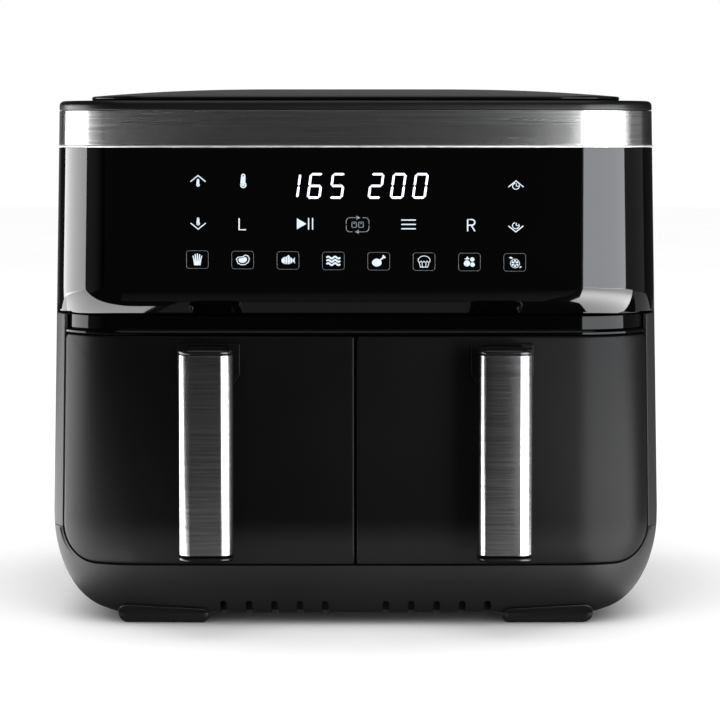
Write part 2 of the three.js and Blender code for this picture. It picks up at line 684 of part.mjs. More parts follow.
// Tubular heater: two turns of a flat spiral.
function heatingElement() {
  const turns = 2;
  const steps = 12 * turns;
  const [innerRadius, outerRadius] = [40, 60];
  const height = LINER_TOP_Z + 11;
  const tubeRadius = 3.2;
  const points = [];
  for (let i = 0; i <= steps; i += 1) {
    const t = i / steps;
    const radius = innerRadius + (outerRadius - innerRadius) * t;
    const angle = 2 * Math.PI * turns * t;
    points.push(new THREE.Vector3(
      CAVITY_X + radius * Math.cos(angle), FAN_Y + radius * Math.sin(angle), height));
  }
  const section = new THREE.Shape();
  section.absarc(0, 0, tubeRadius, 0, 2 * Math.PI);
  const path = new THREE.CatmullRomCurve3(points);
  return new THREE.ExtrudeGeometry(section, { steps: 44, curveSegments: 3, extrudePath: path });
}

// Bladed wheel on the shaft; its blades stand on the side of its disc that `up` points to.
function impeller(radius, z, up, height) {
  const bore = SHAFT_RADIUS + GAP;
  const disc = turned(
    [[bore, z], [radius, z], [radius, z + 1.6], [bore, z + 1.6], [bore, z]], CAVITY_X, FAN_Y, 20);
  const hub = turned([[bore, z - 3], [8, z - 3], [8, z + 4.6], [bore, z + 4.6], [bore, z - 3]],
    CAVITY_X, FAN_Y, 10);
  const bladeCount = 8;
  const bladeLength = radius * 0.62;
  const bladeTurn = 0.5;
  const blades = [];
  for (let i = 0; i < bladeCount; i += 1) {
    const blade = new THREE.BoxGeometry(bladeLength, 1.6, height);
    blade.rotateZ(bladeTurn);
    blade.translate(bladeLength, 0, z + 0.8 + up * height / 2);
    blade.rotateZ(i * 2 * Math.PI / bladeCount);
    blade.translate(CAVITY_X, FAN_Y, 0);
    blades.push(solidOf(blade));
  }
  return unite([disc, hub, ...blades]);
}

function motorShaft() {
  const [low, high] = [203, 304];
  return turned([[0, low], [SHAFT_RADIUS, low], [SHAFT_RADIUS, high], [0, high]], CAVITY_X, FAN_Y, 10);
}

// Shaded-pole motor as a stator can with a bore for the shaft.
function fanMotor() {
  const low = 240;
  const bore = SHAFT_RADIUS + 1;
  const profile = [
    [bore, 0], [24, 0], [26, 4], [26, 30], [24, 34], [10, 34], [10, 39], [bore, 39], [bore, 0]];
  return turned(profile.map(([r, rise]) => [r, low + rise]), CAVITY_X, FAN_Y, 20);
}

// Power board with a transformer, two relays and a choke.
function powerBoard() {
  const under = 192;
  const top = under + 1.6;
  const seat = top - 0.6;
  const relay = (x) => boxSolid(x, x + 20, 120, 145, seat, seat + 16);
  const board = boxSolid(-78, 78, 108, 168, under, top);
  const transformer = boxSolid(-66, -30, 118, 150, seat, seat + 29);
  const choke = turned([[0, seat], [9, seat], [9, seat + 21], [0, seat + 21]], 62, 130, 10);
  return unite([board, transformer, relay(0), relay(26), choke]);
}

// Small switch between the cavities; its bore takes the plunger that the drawer holds in.
function drawerSwitch() {
  const [halfX, halfZ] = [2, 10];
  const backY = LINER_FRONT_Y + 18.2;
  const body = boxSolid(
    PLUNGER_X - halfX, PLUNGER_X + halfX, LINER_FRONT_Y, backY, PLUNGER_Z - halfZ, PLUNGER_Z + halfZ);
  return body.subtract(rodY(PLUNGER_X, PLUNGER_Z, PLUNGER_RADIUS + 0.4, FRAME_FRONT_Y, LINER_FRONT_Y + 6.2));
}

function switchPlunger() {
  return rodY(PLUNGER_X, PLUNGER_Z, PLUNGER_RADIUS, FRAME_FRONT_Y - 0.1, LINER_FRONT_Y + 1.7);
}

// ---- assembly ----
const airFryer = new THREE.Group();

function add(name, shape, look, side = 1) {
  const geometry = shape.isBufferGeometry ? shape : geometryOf(shape);
  const mesh = new THREE.Mesh(side < 0 ? mirrored(geometry) : geometry, look);
  mesh.name = name;
  airFryer.add(mesh);
}

add('base_shell', baseShell(), matteBlack);
for (const [end, endName] of [[-1, 'front'], [1, 'rear']]) {
  add(`foot_${endName}_left`, foot(end), rubber, -1);
  add(`foot_${endName}_right`, foot(end), rubber);
}
add('left_side_panel', sidePanel(), matteBlack, -1);
add('right_side_panel', sidePanel(), matteBlack);
add('rear_cover', rearCover(), matteBlack);
add('cord_gland', cordGland(), rubber);
add('front_frame', frontFrame(), softBlack);
add('lower_fascia', lowerFascia(), glossBlack);
add('control_panel', controlPanel(), glossBlack);
add('display_board', displayBoard(), boardGreen);
add('trim_band', trimBand(), brushedSteel);
add('top_rim', topRim(), matteBlack);
add('top_lid', topLid(), glossBlack);
add('power_board', powerBoard(), boardGreen);

for (const [side, hand] of [[-1, 'left'], [1, 'right']]) {
  add(`${hand}_cavity_liner`, cavityLiner(), galvanised, side);
  add(`${hand}_heater_hood`, heaterHood(), galvanised, side);
  add(`${hand}_element_guard`, elementGuard(), brightSteel, side);
  add(`${hand}_heating_element`, geometryOf(solidOf(heatingElement())), coatedMetal, side);
  add(`${hand}_fan_motor`, fanMotor(), galvanised, side);
  add(`${hand}_motor_shaft`, motorShaft(), brightSteel, side);
  add(`${hand}_convection_fan`, impeller(56, 216, -1, 11), galvanised, side);
  add(`${hand}_cooling_fan`, impeller(38, 288, 1, 11), paleNylon, side);
  add(`${hand}_drawer_switch`, drawerSwitch(), softBlack, side);
  add(`${hand}_switch_plunger`, switchPlunger(), paleNylon, side);
  add(`${hand}_drawer_front`, drawerFront(), matteBlack, side);
  add(`${hand}_drawer_inner_panel`, drawerInnerPanel(), softBlack, side);
  add(`${hand}_pan`, pan(), coatedMetal, side);
  add(`${hand}_handle_pad`, handlePad(), matteBlack, side);
  add(`${hand}_handle_grip`, handleGrip(), softBlack, side);
  add(`${hand}_handle_trim`, handleTrim(), brushedSteel, side);
  add(`${hand}_crisper_plate`, crisperPlate(), coatedMetal, side);
  for (const [end, endName] of [[-1, 'front'], [1, 'rear']]) {
    add(`${hand}_bumper_${endName}_inner`, crisperBumper(-1, end), rubber, side);
    add(`${hand}_bumper_${endName}_outer`, crisperBumper(1, end), rubber, side);
  }
}

export default airFryer;
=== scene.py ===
"""An air fryer with two drawers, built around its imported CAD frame. Metres, +Z up, front towards -Y."""

from math import asin, atan, cos, hypot, pi, radians, sin, sqrt, tan

import bpy
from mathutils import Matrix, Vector


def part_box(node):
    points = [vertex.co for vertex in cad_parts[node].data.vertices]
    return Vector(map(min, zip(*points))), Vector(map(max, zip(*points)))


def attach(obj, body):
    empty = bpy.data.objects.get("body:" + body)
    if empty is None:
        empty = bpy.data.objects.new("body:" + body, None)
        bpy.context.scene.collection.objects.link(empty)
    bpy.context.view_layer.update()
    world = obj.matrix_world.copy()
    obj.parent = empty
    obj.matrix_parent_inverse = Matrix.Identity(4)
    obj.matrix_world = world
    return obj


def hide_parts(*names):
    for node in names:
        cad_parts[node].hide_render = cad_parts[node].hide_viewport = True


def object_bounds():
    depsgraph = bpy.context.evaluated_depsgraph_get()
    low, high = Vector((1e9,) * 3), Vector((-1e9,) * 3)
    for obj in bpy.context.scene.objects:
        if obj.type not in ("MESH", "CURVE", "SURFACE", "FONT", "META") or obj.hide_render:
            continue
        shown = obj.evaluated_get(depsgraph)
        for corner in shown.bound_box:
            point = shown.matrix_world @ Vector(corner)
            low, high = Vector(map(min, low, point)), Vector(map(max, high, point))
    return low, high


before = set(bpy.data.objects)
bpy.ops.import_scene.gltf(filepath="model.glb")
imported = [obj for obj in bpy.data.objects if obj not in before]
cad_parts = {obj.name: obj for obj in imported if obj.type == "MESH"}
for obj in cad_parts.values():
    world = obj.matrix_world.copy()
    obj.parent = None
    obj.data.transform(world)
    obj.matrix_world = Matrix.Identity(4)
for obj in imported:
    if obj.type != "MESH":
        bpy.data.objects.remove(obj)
cad_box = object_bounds()

MM = 0.001
QUARTER = pi / 2


def levels(node):
    """A node's lowest and highest Z."""
    return [corner.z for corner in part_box(node)]


# ---- places read from the frame ----
HALF_WIDTH = cad_box[1].x
FACE_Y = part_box("right_drawer_front")[0].y
REAR_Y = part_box("rear_cover")[1].y
BASE_LOW, BASE_HIGH = levels("base_shell")
WALL_LOW, WALL_HIGH = levels("right_side_panel")
PANEL_LOW, PANEL_HIGH = levels("control_panel")
PANEL_END_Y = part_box("control_panel")[1].y
FASCIA_LOW, FASCIA_HIGH = levels("lower_fascia")
BAND_LOW, BAND_HIGH = levels("trim_band")
RIM_LOW, RIM_HIGH = levels("top_rim")
SEAM_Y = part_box("rear_cover")[0].y
FRAME_BACK_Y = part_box("front_frame")[1].y
DRAWER_LOW, DRAWER_HIGH = levels("right_drawer_front")
DRAWER_INNER_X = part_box("right_drawer_front")[0].x
DRAWER_BACK_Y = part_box("right_drawer_front")[1].y

# ---- the body's outer form ----
WIDEST_Z = 67 * MM
TAPER = 5.2 * MM
BOW = 4 * MM
FRONT_RADIUS = 55 * MM
REAR_RADIUS = 45 * MM
BELLY_SIDE = 37 * MM
BELLY_SIDE_RISE = 61 * MM
BELLY_FRONT = 28 * MM
BELLY_FRONT_RISE = 45 * MM
DRAWER_OUTER_X = 185 * MM
DRAWER_LEAN = 2.4 * MM
DRAWER_CORNER = 22 * MM
SLOT_WIDTH = 1.1 * MM
BEAD_RADIUS = 0.65 * MM
LID_CORNER = 42 * MM
LID_FRONT_Y = -118 * MM
LID_ROLL = 1.35 * MM
LID_DOME_RUN = 110 * MM
HANDLE_X = 91 * MM
HANDLE_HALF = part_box("right_handle_grip")[1].x - HANDLE_X
HANDLE_FRONT_Y, HANDLE_REAR_Y = (corner.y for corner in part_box("right_handle_grip"))
PAN_CORNER = 14 * MM
WALL = 2.4 * MM
JOINT_GAP = 0.3 * MM


def quarter_drop(t):
    return 1 - sqrt(max(0.0, 1 - t * t))


def side_inset(z):
    """How far the sides lie inside the widest outline at a height."""
    if z >= WIDEST_Z:
        return TAPER * (z - WIDEST_Z) / (RIM_LOW - WIDEST_Z)
    return BELLY_SIDE * quarter_drop((WIDEST_Z - z) / BELLY_SIDE_RISE)


def face_inset(z):
    """How far the front and the rear lie inside it: only the base curves in."""
    below = max(0.0, BASE_LOW + BELLY_FRONT_RISE - z)
    return BELLY_FRONT * quarter_drop(min(0.98, below / BELLY_FRONT_RISE))


def rounded_plan(kind, t, half, front, rear, front_r, rear_r):
    """A point on the right half of a rounded rectangle in plan. `kind` is the stretch, t runs 0 to 1 along it."""
    (fx, fy), (rx, ry) = front_r, rear_r
    if kind == "front":
        return t * (half - fx), front
    if kind == "corner":
        return half - fx + fx * sin(t * QUARTER), front + fy - fy * cos(t * QUARTER)
    if kind == "flank":
        return half, front + fy + t * (rear - ry - front - fy)
    if kind == "rear_corner":
        return half - rx + rx * cos(t * QUARTER), rear - ry + ry * sin(t * QUARTER)
    return (1 - t) * (half - rx), rear


def bowed(x, y, z):
    return Vector((x, y + (BOW * (x / HALF_WIDTH) ** 2 if y < 0 else 0), z))


def body_point(kind, t, z, side, face):
    """A point on the body's right half, with its sides and its faces moved in by two amounts."""
    front_r = (FRONT_RADIUS - side, FRONT_RADIUS - face)
    rear_r = (REAR_RADIUS - side, REAR_RADIUS - face)
    x, y = rounded_plan(kind, t, HALF_WIDTH - side, FACE_Y + face, REAR_Y - face, front_r, rear_r)
    return bowed(x, y, z)


def skin_point(kind, t, z, inside=0.0):
    return body_point(kind, t, z, side_inset(z) + inside, face_inset(z) + inside)


def skin_y(x, z, inside=0.0):
    """Where the front skin lies in Y at a place seen from the front."""
    half = HALF_WIDTH - side_inset(z) - inside
    rx = FRONT_RADIUS - side_inset(z) - inside
    face = face_inset(z) + inside
    over = max(0.0, abs(x) - (half - rx)) / rx
    y = FACE_Y + face + (FRONT_RADIUS - face) * quarter_drop(min(1.0, over))
    return bowed(x, y, z).y


def mirrored(point):
    return Vector((-point.x, point.y, point.z))


def steps(count, start=0.0, end=1.0):
    return [start + (end - start) * i / count for i in range(count + 1)]


FULL_STATIONS = (
    [("front", t) for t in steps(16)[:-1]]
    + [("corner", t) for t in steps(26)[:-1]]
    + [("flank", t) for t in steps(8)[:-1]]
    + [("rear_corner", t) for t in steps(20)[:-1]]
    + [("rear", t) for t in steps(8)]
)


def both_halves(right):
    """A closed ring from its right half, which runs from the middle of the front to the middle of the rear."""
    return right + [mirrored(p) for p in reversed(right[1:-1])]


def full_ring(z, inside):
    """The skin's outline at a height, moved in by an amount."""
    return both_halves([skin_point(kind, t, z, inside) for kind, t in FULL_STATIONS])


def corner_t(reached):
    """Where along the front corner a condition is first met, by halving."""
    low, high = 0.0, 1.0
    for _ in range(40):
        middle = (low + high) / 2
        if reached(middle):
            high = middle
        else:
            low = middle
    return high


def leaned(x, z):
    """The drawers' window narrows towards the top: where a place at its foot lies at a height."""
    return x * (1 - (z - DRAWER_LOW) / (DRAWER_HIGH - DRAWER_LOW) * DRAWER_LEAN / DRAWER_OUTER_X)


# ---- meshes ----
def new_object(name, vertices, faces):
    mesh = bpy.data.meshes.new(name)
    mesh.from_pydata([tuple(v) for v in vertices], [], faces)
    for polygon in mesh.polygons:
        polygon.use_smooth = True
    obj = bpy.data.objects.new(name, mesh)
    bpy.context.scene.collection.objects.link(obj)
    return obj


def skin(name, rows, wrap=False, cap_first=False, cap_last=False):
    """One mesh through rows of points, each row as long as the next."""
    count = len(rows[0])
    faces = []
    for level in range(len(rows) - 1):
        for i in range(count if wrap else count - 1):
            a, b = level * count + i, level * count + (i + 1) % count
            faces.append((a, b, b + count, a + count))
    if cap_first:
        faces.append(tuple(reversed(range(count))))
    if cap_last:
        faces.append(tuple(range((len(rows) - 1) * count, len(rows) * count)))
    return new_object(name, [p for row in rows for p in row], faces)


def solid(name, rows):
    """A closed form through rings of points, from its first ring's cap to its last ring's."""
    return skin(name, rows, wrap=True, cap_first=True, cap_last=True)


def hoop(name, rows):
    """A mesh that closes both along its rows and from the last row back to the first."""
    count = len(rows[0])
    faces = []
    for level in range(len(rows)):
        for i in range(count):
            a, b = level * count + i, level * count + (i + 1) % count
            shift = ((level + 1) % len(rows) - level) * count
            faces.append((a, b, b + shift, a + shift))
    return new_object(name, [p for row in rows for p in row], faces)


def settle(obj):
    """Applies the object's modifiers to its mesh."""
    graph = bpy.context.evaluated_depsgraph_get()
    mesh = bpy.data.meshes.new_from_object(obj.evaluated_get(graph), depsgraph=graph)
    old = obj.data
    obj.modifiers.clear()
    obj.data = mesh
    bpy.data.meshes.remove(old)
    mesh.name = obj.name
    return obj


def thicken(obj, thickness):
    solidify = obj.modifiers.new("wall", "SOLIDIFY")
    solidify.thickness = thickness
    solidify.offset = -1
    solidify.use_even_offset = True
    return obj


def round_edges(obj, width, segments=3, angle=35):
    bevel = obj.modifiers.new("edges", "BEVEL")
    bevel.width = width
    bevel.segments = segments
    bevel.limit_method = "ANGLE"
    bevel.angle_limit = radians(angle)
    bevel.harden_normals = True
    return obj


def carve(obj, cutters):
    """Cuts the object with others, which are then gone."""
    for cutter in cutters:
        boolean = obj.modifiers.new("cut", "BOOLEAN")
        boolean.operation = "DIFFERENCE"
        boolean.solver = "EXACT"
        boolean.object = cutter
    settle(obj)
    for cutter in cutters:
        bpy.data.objects.remove(cutter)
    return obj


def join(obj, others):
    """Takes other objects' meshes into this one."""
    for other in others:
        settle(other)
    settle(obj)
    with bpy.context.temp_override(active_object=obj, selected_editable_objects=[obj, *others]):
        bpy.ops.object.join()
    return obj


def prism_y(name, outline, y0, y1):
    """A shape of (x, z) points carried through from y0 to y1."""
    rows = [[Vector((x, y, z)) for x, z in outline] for y in (y1, y0)]
    return solid(name, rows)


def block(name, low, high):
    (x0, y0, z0), (x1, y1, z1) = low, high
    return prism_y(name, [(x0, z0), (x1, z0), (x1, z1), (x0, z1)], y0, y1)


def rounded_outline(x0, z0, x1, z1, radii, n=8, n_flat=1):
    """Points of a rectangle with a radius at each corner: low left, low right, high right, high left."""
    low_left, low_right, high_right, high_left = radii
    corners = (
        (x1 - low_right, z0 + low_right, low_right, -1),
        (x1 - high_right, z1 - high_right, high_right, 0),
        (x0 + high_left, z1 - high_left, high_left, 1),
        (x0 + low_left, z0 + low_left, low_left, 2),
    )
    points = []
    for index, (cx, cz, r, turn) in enumerate(corners):
        for t in steps(n):
            angle = (turn + t) * QUARTER
            points.append((cx + r * cos(angle), cz + r * sin(angle)))
        nx, nz, nr, _ = corners[(index + 1) % 4]
        start = points[-1]
        end = (nx + nr * cos((turn + 1) * QUARTER), nz + nr * sin((turn + 1) * QUARTER))
        for t in steps(n_flat)[1:-1]:
            points.append((start[0] + t * (end[0] - start[0]), start[1] + t * (end[1] - start[1])))
    return points


def turn_to_side(obj, sign):
    """Pieces are made for the right-hand side, and mirrored for the left."""
    if sign < 0:
        for vertex in obj.data.vertices:
            vertex.co.x = -vertex.co.x
        obj.data.flip_normals()
        obj.data.update()
    return obj


def turned(corners, n, quarters=1):
    """Points round corners, each given by its centre, its two radii and the quarter turn that it starts at."""
    points = []
    for cx, cy, rx, ry, turn in corners:
        for t in steps(n, 0, quarters):
            angle = (turn + t) * QUARTER
            points.append((cx + rx * cos(angle), cy + ry * sin(angle)))
    return points


def box_ring(low, high, z, inside, r, n=8, n_flat=4):
    """A level rounded rectangle, moved in from the sides of a box."""
    outline = rounded_outline(low.x + inside, low.y + inside, high.x - inside, high.y - inside, [r] * 4, n, n_flat)
    return [Vector((x, y, z)) for x, y in outline]


def round_over(start, r, way=1, n=6):
    """A quarter round from a level face into a wall, as (z, inside) pairs; way is -1 below a top face."""
    return [(start + way * r * (1 - cos(a)), r * (1 - sin(a))) for a in steps(n, 0, QUARTER)]


# ---- materials ----
class Shade:
    """A new material's or world's node tree, and short ways to add to it."""

    def __init__(self, owner, shader="Principled BSDF"):
        owner.use_nodes = True
        self.owner, self.nodes, self.links = owner, owner.node_tree.nodes, owner.node_tree.links
        self.shader = self.nodes[shader]

    def put(self, socket, value):
        """Feeds an input with another node's output, or sets it to a number or colour."""
        if isinstance(value, bpy.types.NodeSocket):
            self.links.new(value, socket)
        else:
            socket.default_value = (*value, 1) if socket.type == "RGBA" else value

    def feed(self, node, inputs, named):
        for index, value in enumerate(inputs):
            self.put(node.inputs[index], value)
        for name, value in named.items():
            self.put(node.inputs[name.replace("_", " ")], value)

    def add(self, kind, output, *inputs, **named):
        """Adds a node and returns an output of it. Lower-case names are its settings, the rest its inputs."""
        node = self.nodes.new("ShaderNode" + kind)
        for name in [name for name in named if name.islower()]:
            setattr(node, name, named.pop(name))
        self.feed(node, inputs, named)
        return node.outputs[output]

    def finish(self, **named):
        """Sets the shader's own inputs."""
        self.feed(self.shader, (), named)
        return self.owner

    def space(self, stretch=(1, 1, 1)):
        return self.add("Mapping", "Vector", Vector=self.add("TexCoord", "Object"), Scale=stretch)

    def noise(self, scale, detail, roughness=0.5, stretch=(1, 1, 1)):
        place = self.space(stretch)
        return self.add("TexNoise", "Fac", Vector=place, Scale=scale, Detail=detail, Roughness=roughness)

    def remap(self, value, low, high, **named):
        return self.add("MapRange", "Result", Value=value, To_Min=low, To_Max=high, **named)

    def drift(self, value, start, end, low, high):
        """Goes smoothly from low to high while the value goes from start to end."""
        return self.remap(value, low, high, From_Min=start, From_Max=end, interpolation_type="SMOOTHSTEP")

    def blend(self, factor, first, second):
        """A colour between two, the first one where the factor is 0."""
        result = self.add("Mix", 2, factor, data_type="RGBA")
        self.put(result.node.inputs[6], first)
        self.put(result.node.inputs[7], second)
        return result

    def tones(self, factor, colour, dark, light):
        return self.blend(factor, *[[min(1, c * share) for c in colour] for share in (dark, light)])

    def bump(self, height, strength, distance):
        return self.add("Bump", "Normal", Height=height, Strength=strength, Distance=distance)


def new_shade(name):
    return Shade(bpy.data.materials.new(name))


def moulded_plastic(name, colour, roughness, grain=0.25, grain_scale=1400, ior=1.5, painted_lower_sheen=None):
    """Spark-eroded plastic: fine grain, a slow drift in gloss and in depth of black.

    The last argument gives a paler colour and two heights: below them the tone turns into that colour, a painted
    reflection of the bright table where the form leans under."""
    shade = new_shade(name)
    slow = shade.noise(14, 3)
    tone = shade.tones(slow, colour, 0.85, 1.2)
    # Painted reflection: the tone turns paler towards the foot of the form.
    if painted_lower_sheen:
        sheen_colour, low, high = painted_lower_sheen
        height = shade.add("SeparateXYZ", "Z", shade.space())
        tone = shade.blend(shade.drift(height, low, high, 1.0, 0.0), tone, sheen_colour)
    return shade.finish(
        Base_Color=tone, Roughness=shade.remap(slow, roughness - 0.04, roughness + 0.04),
        Normal=shade.bump(shade.noise(grain_scale, 4, 0.6), grain, 0.05 * MM), IOR=ior)


def gloss_plastic(name, colour, roughness=0.04, ior=1.5):
    """Polished black: a faint slow waviness, as a moulded skin has, and thin dust in its gloss."""
    shade = new_shade(name)
    wave = shade.noise(18, 1)
    return shade.finish(
        Base_Color=shade.tones(wave, colour, 0.8, 1.25), Normal=shade.bump(wave, 0.05, 0.2 * MM),
        Roughness=shade.remap(shade.noise(2600, 2), roughness * 0.6, roughness * 1.6), IOR=ior)


def brushed_metal(name, colour, roughness, anisotropy, along=14, across=900):
    """Steel with fine lines lying level: gloss spreads up and down across them, and stays tight along them."""
    shade = new_shade(name)
    fine = shade.noise(1.0, 3, 0.6, (along, along, across))
    broad = shade.noise(1.0, 2, 0.5, (along * 0.25, along * 0.25, across * 0.2))
    return shade.finish(
        Base_Color=shade.tones(fine, colour, 0.25, 1.75), Normal=shade.bump(fine, 0.012, 0.02 * MM),
        Roughness=shade.remap(broad, roughness * 0.92, roughness * 1.08), Metallic=1,
        Anisotropic=anisotropy, Anisotropic_Rotation=0.25,
        Tangent=shade.add("Tangent", "Tangent", direction_type="RADIAL", axis="Z"))


def sheet_metal(name, colour, roughness, spangle=120):
    """Plain or plated sheet with soft patches in tone and gloss."""
    shade = new_shade(name)
    patches = shade.noise(spangle, 3)
    return shade.finish(
        Base_Color=shade.tones(patches, colour, 0.75, 1.15), Normal=shade.bump(patches, 0.12, 0.1 * MM),
        Roughness=shade.remap(patches, roughness - 0.06, roughness + 0.1), Metallic=1)


def coated_metal(name, colour, roughness):
    """Non-stick coating: dark, half gloss, with a sparse pale speckle."""
    shade = new_shade(name)
    speckle = shade.noise(900, 2)
    sparse = shade.add("ValToRGB", "Color", speckle)
    for element, position in zip(sparse.node.color_ramp.elements, (0.66, 0.74)):
        element.position = position
    return shade.finish(
        Base_Color=shade.tones(sparse, colour, 1, 3.5), Normal=shade.bump(speckle, 0.2, 0.05 * MM),
        Roughness=shade.remap(shade.noise(20, 2), roughness - 0.05, roughness + 0.07))


def glow(name, colour, strength):
    """Lit legend: even light, a touch weaker here and there, as a backlit print is."""
    shade = new_shade(name)
    return shade.finish(
        Emission_Strength=shade.remap(shade.noise(300, 1), strength * 0.85, strength * 1.1),
        Base_Color=[c * 0.2 for c in colour], Emission_Color=colour, Roughness=0.3)


HOUSING = moulded_plastic("housing_black", (0.0095, 0.0095, 0.0098), 0.58, ior=1.42)
# Paler colour along the drawers' lower edge: a painted reflection of the near table, not the plastic's own colour.
PAINTED_LOWER_SHEEN = ((0.0135, 0.0135, 0.014), DRAWER_LOW + 9 * MM, DRAWER_LOW + 30 * MM)
DRAWER = moulded_plastic("drawer_black", (0.0022, 0.0022, 0.0024), 0.34, ior=1.2, painted_lower_sheen=PAINTED_LOWER_SHEEN)
SIDE = moulded_plastic("side_black", (0.0095, 0.0095, 0.0098), 0.5, ior=1.34)
RIM = moulded_plastic("rim_black", (0.0035, 0.0035, 0.0037), 0.32, ior=1.4)
INNER = moulded_plastic("inner_black", (0.02, 0.02, 0.02), 0.5)
GRIP = moulded_plastic("grip_black", (0.004, 0.004, 0.0043), 0.22, grain=0.08)
GLOSS = gloss_plastic("gloss_black", (0.0006, 0.0006, 0.0008))
FASCIA = gloss_plastic("fascia_black", (0.0006, 0.0006, 0.0008), 0.05, ior=1.3)
LID = gloss_plastic("lid_black", (0.003, 0.003, 0.0032), 0.14)
BAND = brushed_metal("brushed_band", (0.94, 0.94, 0.945), 0.27, 0.94)
SLEEVE = brushed_metal("brushed_handle", (0.5, 0.5, 0.504), 0.2, 0.7, along=25, across=1300)
RUBBER = moulded_plastic("rubber_black", (0.007, 0.007, 0.0073), 0.5, grain=0.15, grain_scale=800)
COATED = coated_metal("coated_steel", (0.02, 0.02, 0.021), 0.34)
PLATED = sheet_metal("plated_sheet", (0.55, 0.56, 0.57), 0.36)
BRIGHT = sheet_metal("bright_steel", (0.66, 0.66, 0.67), 0.22, 200)
BEAD = sheet_metal("band_bead", (0.7, 0.7, 0.7), 0.5, 200)
SHEATH = sheet_metal("heater_sheath", (0.2, 0.18, 0.165), 0.42, 260)
ALUMINIUM = sheet_metal("fan_aluminium", (0.72, 0.72, 0.73), 0.34, 90)
BOARD = moulded_plastic("board_green", (0.02, 0.085, 0.045), 0.4, grain=0.1)
NYLON = moulded_plastic("pale_nylon", (0.62, 0.6, 0.55), 0.45, grain=0.1)
GLOW = glow("display_glow", (0.84, 0.85, 1.0), 2.2)
GLOW_SOFT = glow("soft_glow", (0.8, 0.9, 1.0), 0.8)
GLOW_FAINT = glow("faint_glow", (0.8, 0.9, 1.0), 0.035)


def place(obj, body, material, slot, *nodes):
    """Finishes a piece: its material, the body that it moves with, and the CAD nodes that it stands for."""
    obj.data.materials.clear()
    obj.data.materials.append(material)
    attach(obj, body)
    if nodes:
        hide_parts(*nodes)


# ---- housing ----
def base_stations():
    """Stations and their top heights: the base's edge follows the window under the drawers."""
    flat_end = DRAWER_OUTER_X - DRAWER_CORNER
    low = DRAWER_LOW - SLOT_WIDTH
    level_t = corner_t(lambda t: skin_point("corner", t, low).x > flat_end)
    stations = [("front", t, low) for t in steps(24)[:-1]]
    stations += [("corner", t, low) for t in steps(10, 0, level_t)[:-1]]
    r = DRAWER_CORNER + SLOT_WIDTH
    last = asin(min(1.0, sqrt(1 - (1 - (BASE_HIGH - low) / r) ** 2)))
    for angle in steps(18, 0, last):
        x, z = flat_end + r * sin(angle), low + r * (1 - cos(angle))
        t = corner_t(lambda u: skin_point("corner", u, z).x > x)
        stations.append(("corner", t, z))
    start = stations[-1][1]
    stations += [("corner", t, BASE_HIGH) for t in steps(8, start, 1.0)[1:-1]]
    stations += [("flank", t, BASE_HIGH) for t in steps(8)[:-1]]
    stations += [("rear_corner", t, BASE_HIGH) for t in steps(20)[:-1]]
    stations += [("rear", t, BASE_HIGH) for t in steps(8)]
    return stations


def air_slot(x):
    half, straight_top = 2.1 * MM, 14.1 * MM
    outline = [(x - half, 0), (x + half, 0)]
    outline += [(x + half * cos(a), straight_top + half * sin(a)) for a in steps(10, 0, pi)]
    return prism_y("air_slot", outline, FACE_Y - 20 * MM, FACE_Y + 38 * MM)


def base_shell():
    """Tub with arched air slots, a ledge under the drawers, and a dark rib behind the slots."""
    stations = base_stations()
    rows = [both_halves([skin_point(kind, t, BASE_LOW + (top - BASE_LOW) * rise ** 1.5) for kind, t, top in stations])
            for rise in steps(28)]
    underside = 0.985
    floor_ring = [Vector((p.x * underside, p.y * underside, BASE_LOW)) for p in rows[0]]
    shell = thicken(skin("base_shell", [floor_ring] + rows, wrap=True, cap_first=True), WALL)
    first, pitch = 19, 16
    carve(shell, [air_slot(sign * (first + pitch * i) * MM) for sign in (-1, 1) for i in range(5)])
    round_edges(shell, 0.45 * MM, 2)
    edge = [skin_point(kind, t, top) for kind, t, top in stations if kind in ("front", "corner") and top < BASE_HIGH]
    edge = [mirrored(p) for p in reversed(edge[1:])] + edge
    lip = [p + Vector((0, 1.6 * MM, -0.25 * MM)) for p in edge]
    back = [Vector((p.x, FRAME_BACK_Y, p.z)) for p in lip]
    ledge = thicken(skin("ledge", [lip, back]), 2 * MM)
    guard_half, guard_y, guard_top = 88 * MM, FACE_Y + 32 * MM, 26 * MM
    guard = block("slot_guard", (-guard_half, guard_y, BASE_LOW + 0.3 * MM),
                  (guard_half, guard_y + 1.5 * MM, guard_top))
    return join(shell, [ledge, guard])


def side_panel(name, sign):
    """Flank beside the drawer, then back to the rear cover's seam; above the drawers it starts further back."""
    lower = steps(14, WALL_LOW, FASCIA_HIGH)
    upper = steps(8, FASCIA_HIGH, WALL_HIGH)[1:]
    n_front, n_corner, n_flank = 12, 6, 6
    rows = []
    for z in lower + upper:
        edge = leaned(DRAWER_OUTER_X + SLOT_WIDTH, z)
        start = corner_t(lambda t: skin_point("corner", t, z).x > edge)
        seam = corner_t(lambda t: skin_point("corner", t, z).y > PANEL_END_Y + JOINT_GAP)
        points = [skin_point("corner", t, z) for t in steps(n_front, start, seam) + steps(n_corner, seam, 1)[1:]]
        near, length = points[-1], SEAM_Y - JOINT_GAP - points[-1].y
        rows.append(points + [Vector((near.x, near.y + t * length, z)) for t in steps(n_flank)[1:]])
    count = len(rows[0])
    faces = []
    for row in range(len(rows) - 1):
        for i in range(0 if row < len(lower) - 1 else n_front, count - 1):
            a = row * count + i
            faces.append((a, a + 1, a + 1 + count, a + count))
    used = sorted({i for face in faces for i in face})
    index = {old: new for new, old in enumerate(used)}
    points = [p for row in rows for p in row]
    points = [points[i] for i in used]
    faces = [tuple(index[i] for i in face) for face in faces]
    if sign < 0:
        points = [mirrored(p) for p in points]
        faces = [face[::-1] for face in faces]
    return settle(round_edges(thicken(new_object(name, points, faces), WALL), 0.4 * MM, 2))


